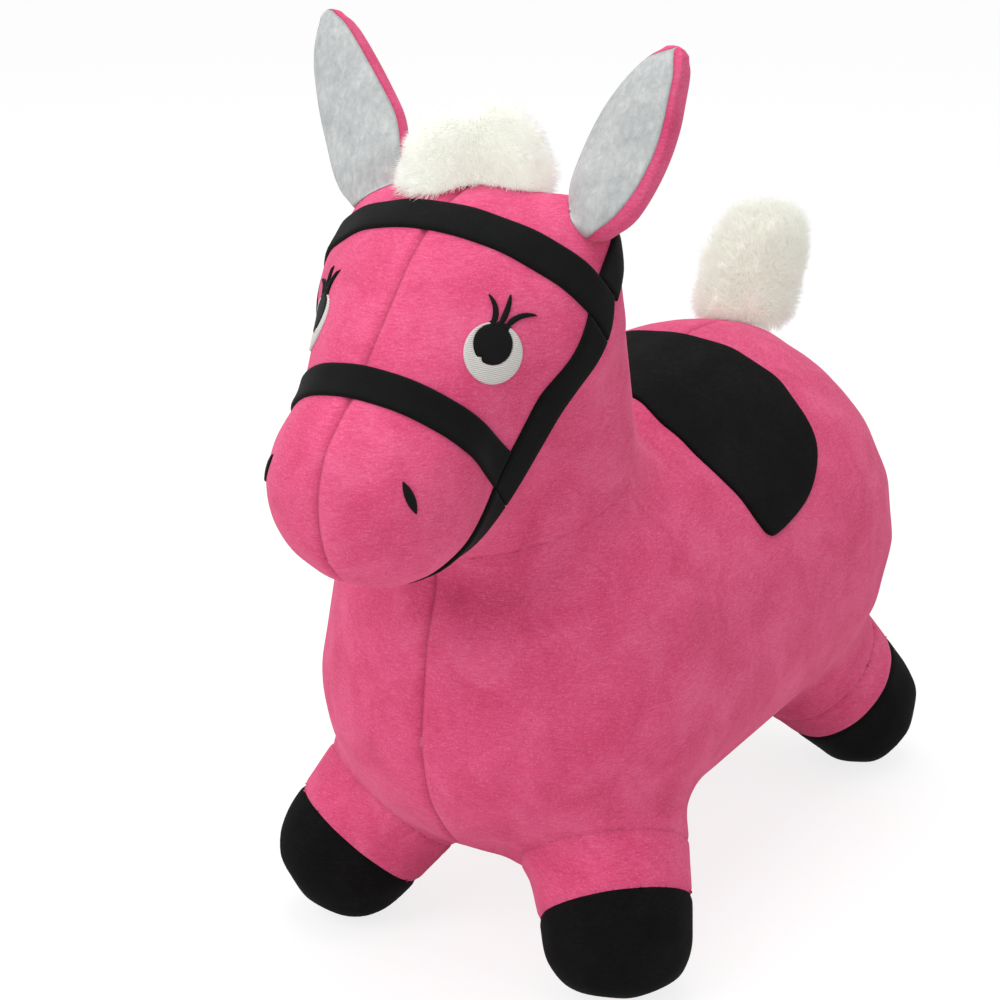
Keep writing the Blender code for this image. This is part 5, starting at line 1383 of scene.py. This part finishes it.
nylon = smooth_solid("moulded pink nylon", "#A62C52", "#B83A62", 3 * mm, 0.4)
nickel = smooth_solid("nickel-plated zinc", "#B9B6B0", "#CFCCC6", 2 * mm, 0.25, metallic=1.0)
rubber = smooth_solid("moulded white rubber", "#CFCDC6", "#DEDCD6", 5 * mm, 0.5)
vinyl = smooth_solid("calendered pink vinyl film", "#B9486A", "#C75A7A", 20 * mm, 0.35, waviness=0.3 * mm)
FINISHES = {"zip_teeth_left": nylon, "zip_teeth_right": nylon, "zip_stop_front": nylon, "zip_stop_rear": nylon,
            "zip_slider": nickel, "zip_pull": nickel, "valve_eyelet": rubber, "air_plug": rubber,
            "valve_seat": vinyl, "air_bladder": vinyl}
EDGE = 0.15 * mm
for name, finish in FINISHES.items():
    piece = frame["nodes"][name]
    piece.data.materials.clear()
    piece.data.materials.append(finish)
    if name != "air_bladder":
        add_modifier(piece, "BEVEL", width=EDGE, segments=2, limit_method="ANGLE", angle_limit=math.radians(50))


ZIP_WAVE, WAVES_BACK, WAVES_ACROSS = 0.1 * mm, 700, 300  # height, and radians per metre


def lay_zip_tape(side_name):
    """A woven tape beside the teeth, a little wavy where it was stitched."""
    low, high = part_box(f"zip_tape_{side_name}")
    shape = bmesh.new()
    columns, rows = np.linspace(low.x, high.x, 13), np.linspace(low.y, high.y, 120)
    dips = [[ZIP_WAVE * (1 + math.sin(y * WAVES_BACK + x * WAVES_ACROSS)) / 2 for x in columns] for y in rows]
    grid = [[shape.verts.new((x, y, high.z - dip)) for x, dip in zip(columns, line)]
            for y, line in zip(rows, dips)]
    quilt(shape, grid, rows, columns)
    edges = [min(v.co.x - low.x, high.x - v.co.x, v.co.y - low.y, high.y - v.co.y) for v in shape.verts]
    raised(shape, [DOWN] * len(shape.verts), edges, 0.0, high.z - low.z - 0.25 * mm, 0.5 * mm)
    add_piece(f"zip_tape_woven_{side_name}", from_bmesh(shape), zip_tape, "animal",
              [f"zip_tape_{side_name}"])


for side_name, _ in SIDES:
    lay_zip_tape(side_name)
print("hard pieces from the CAD:", len(FINISHES))

# %% [markdown]
# ## Floor, light and camera
# The photograph is a catalogue picture: white all round, soft light from above and in front. The floor
# and the world show the camera pure white, while the light on the toy stays at a plain level.

# %% Camera at the photograph's angle
PHOTO_SIZE = 1000
FOCAL_PIXELS = 2572
CAMERA_AT, CAMERA_TARGET = (0.66367, -1.18627, 0.73371), (0, -0.09041, 0.2598)


def aimed(thing, place, target):
    """Put a camera or a lamp in its place and turn it to its target."""
    thing.location = place
    thing.rotation_mode = "QUATERNION"
    thing.rotation_quaternion = (Vector(target) - Vector(place)).to_track_quat("-Z", "Y")


camera = placed("camera", bpy.data.cameras.new("camera"))
camera.data.sensor_width = 36.0
camera.data.lens = FOCAL_PIXELS * camera.data.sensor_width / PHOTO_SIZE
camera.data.shift_x = -0.0007
camera.data.clip_start, camera.data.clip_end = 0.01, 100
aimed(camera, CAMERA_AT, CAMERA_TARGET)
bpy.context.scene.camera = camera
print("camera:", round(camera.data.lens, 1), "mm lens at", CAMERA_AT)

# %% World, lamps and floor
WHITE = (1, 1, 1, 1)
WORLD_LIGHT = 0.6
LAMP_TARGET = (0, 0, 0.25)
FLOOR_GLOW, FLOOR_GLOW_SHARE = 1.12, 0.72
scene = bpy.context.scene
scene.view_settings.view_transform = "Standard"
world = bpy.data.worlds.new("white studio")
scene.world = world
world.use_nodes = True


def seen_directly(tree):
    """1 for what the camera sees, also through glass or in a mirror."""
    path = add_node(tree, "ShaderNodeLightPath").outputs
    either = maths(tree, "MAXIMUM", path["Is Camera Ray"], path["Is Glossy Ray"])
    return maths(tree, "MAXIMUM", either, path["Is Transmission Ray"])


tree = world.node_tree
strength = mixed(tree, seen_directly(tree), WORLD_LIGHT, 1.0, "FLOAT")
feed(tree.nodes["Background"], {"Color": WHITE, "Strength": strength})

# Soft square lamps: name, place, size and power
for name, place, size, power in (("key", (-0.6, -1.6, 1.5), 1.2, 15), ("top", (0, 0, 2.2), 1.4, 20)):
    lamp = placed(name, bpy.data.lights.new(name, "AREA"))
    lamp.data.size, lamp.data.energy = size, power
    aimed(lamp, place, LAMP_TARGET)

floor = placed("floor", bpy.data.meshes.new("floor"))
floor.data.from_pydata([(-6, -6, 0), (6, -6, 0), (6, 6, 0), (-6, 6, 0)], [], [(0, 1, 2, 3)])
floor.location.z = -0.2 * mm
floor_white, tree, shader = new_material("white painted floor")
feed(shader, {"Base Color": linear("#F4F4F4"), "Roughness": 0.9, "Specular IOR Level": 0.1})
glow = add_node(tree, "ShaderNodeEmission", {"Color": WHITE, "Strength": FLOOR_GLOW})
share = maths(tree, "MULTIPLY", seen_directly(tree), FLOOR_GLOW_SHARE)
both = add_node(tree, "ShaderNodeMixShader", {0: share, 1: shader.outputs[0], 2: glow.outputs[0]})
feed(tree.nodes["Material Output"], {"Surface": both.outputs[0]})
floor.data.materials.append(floor_white)
print("white world, two lamps and the floor")
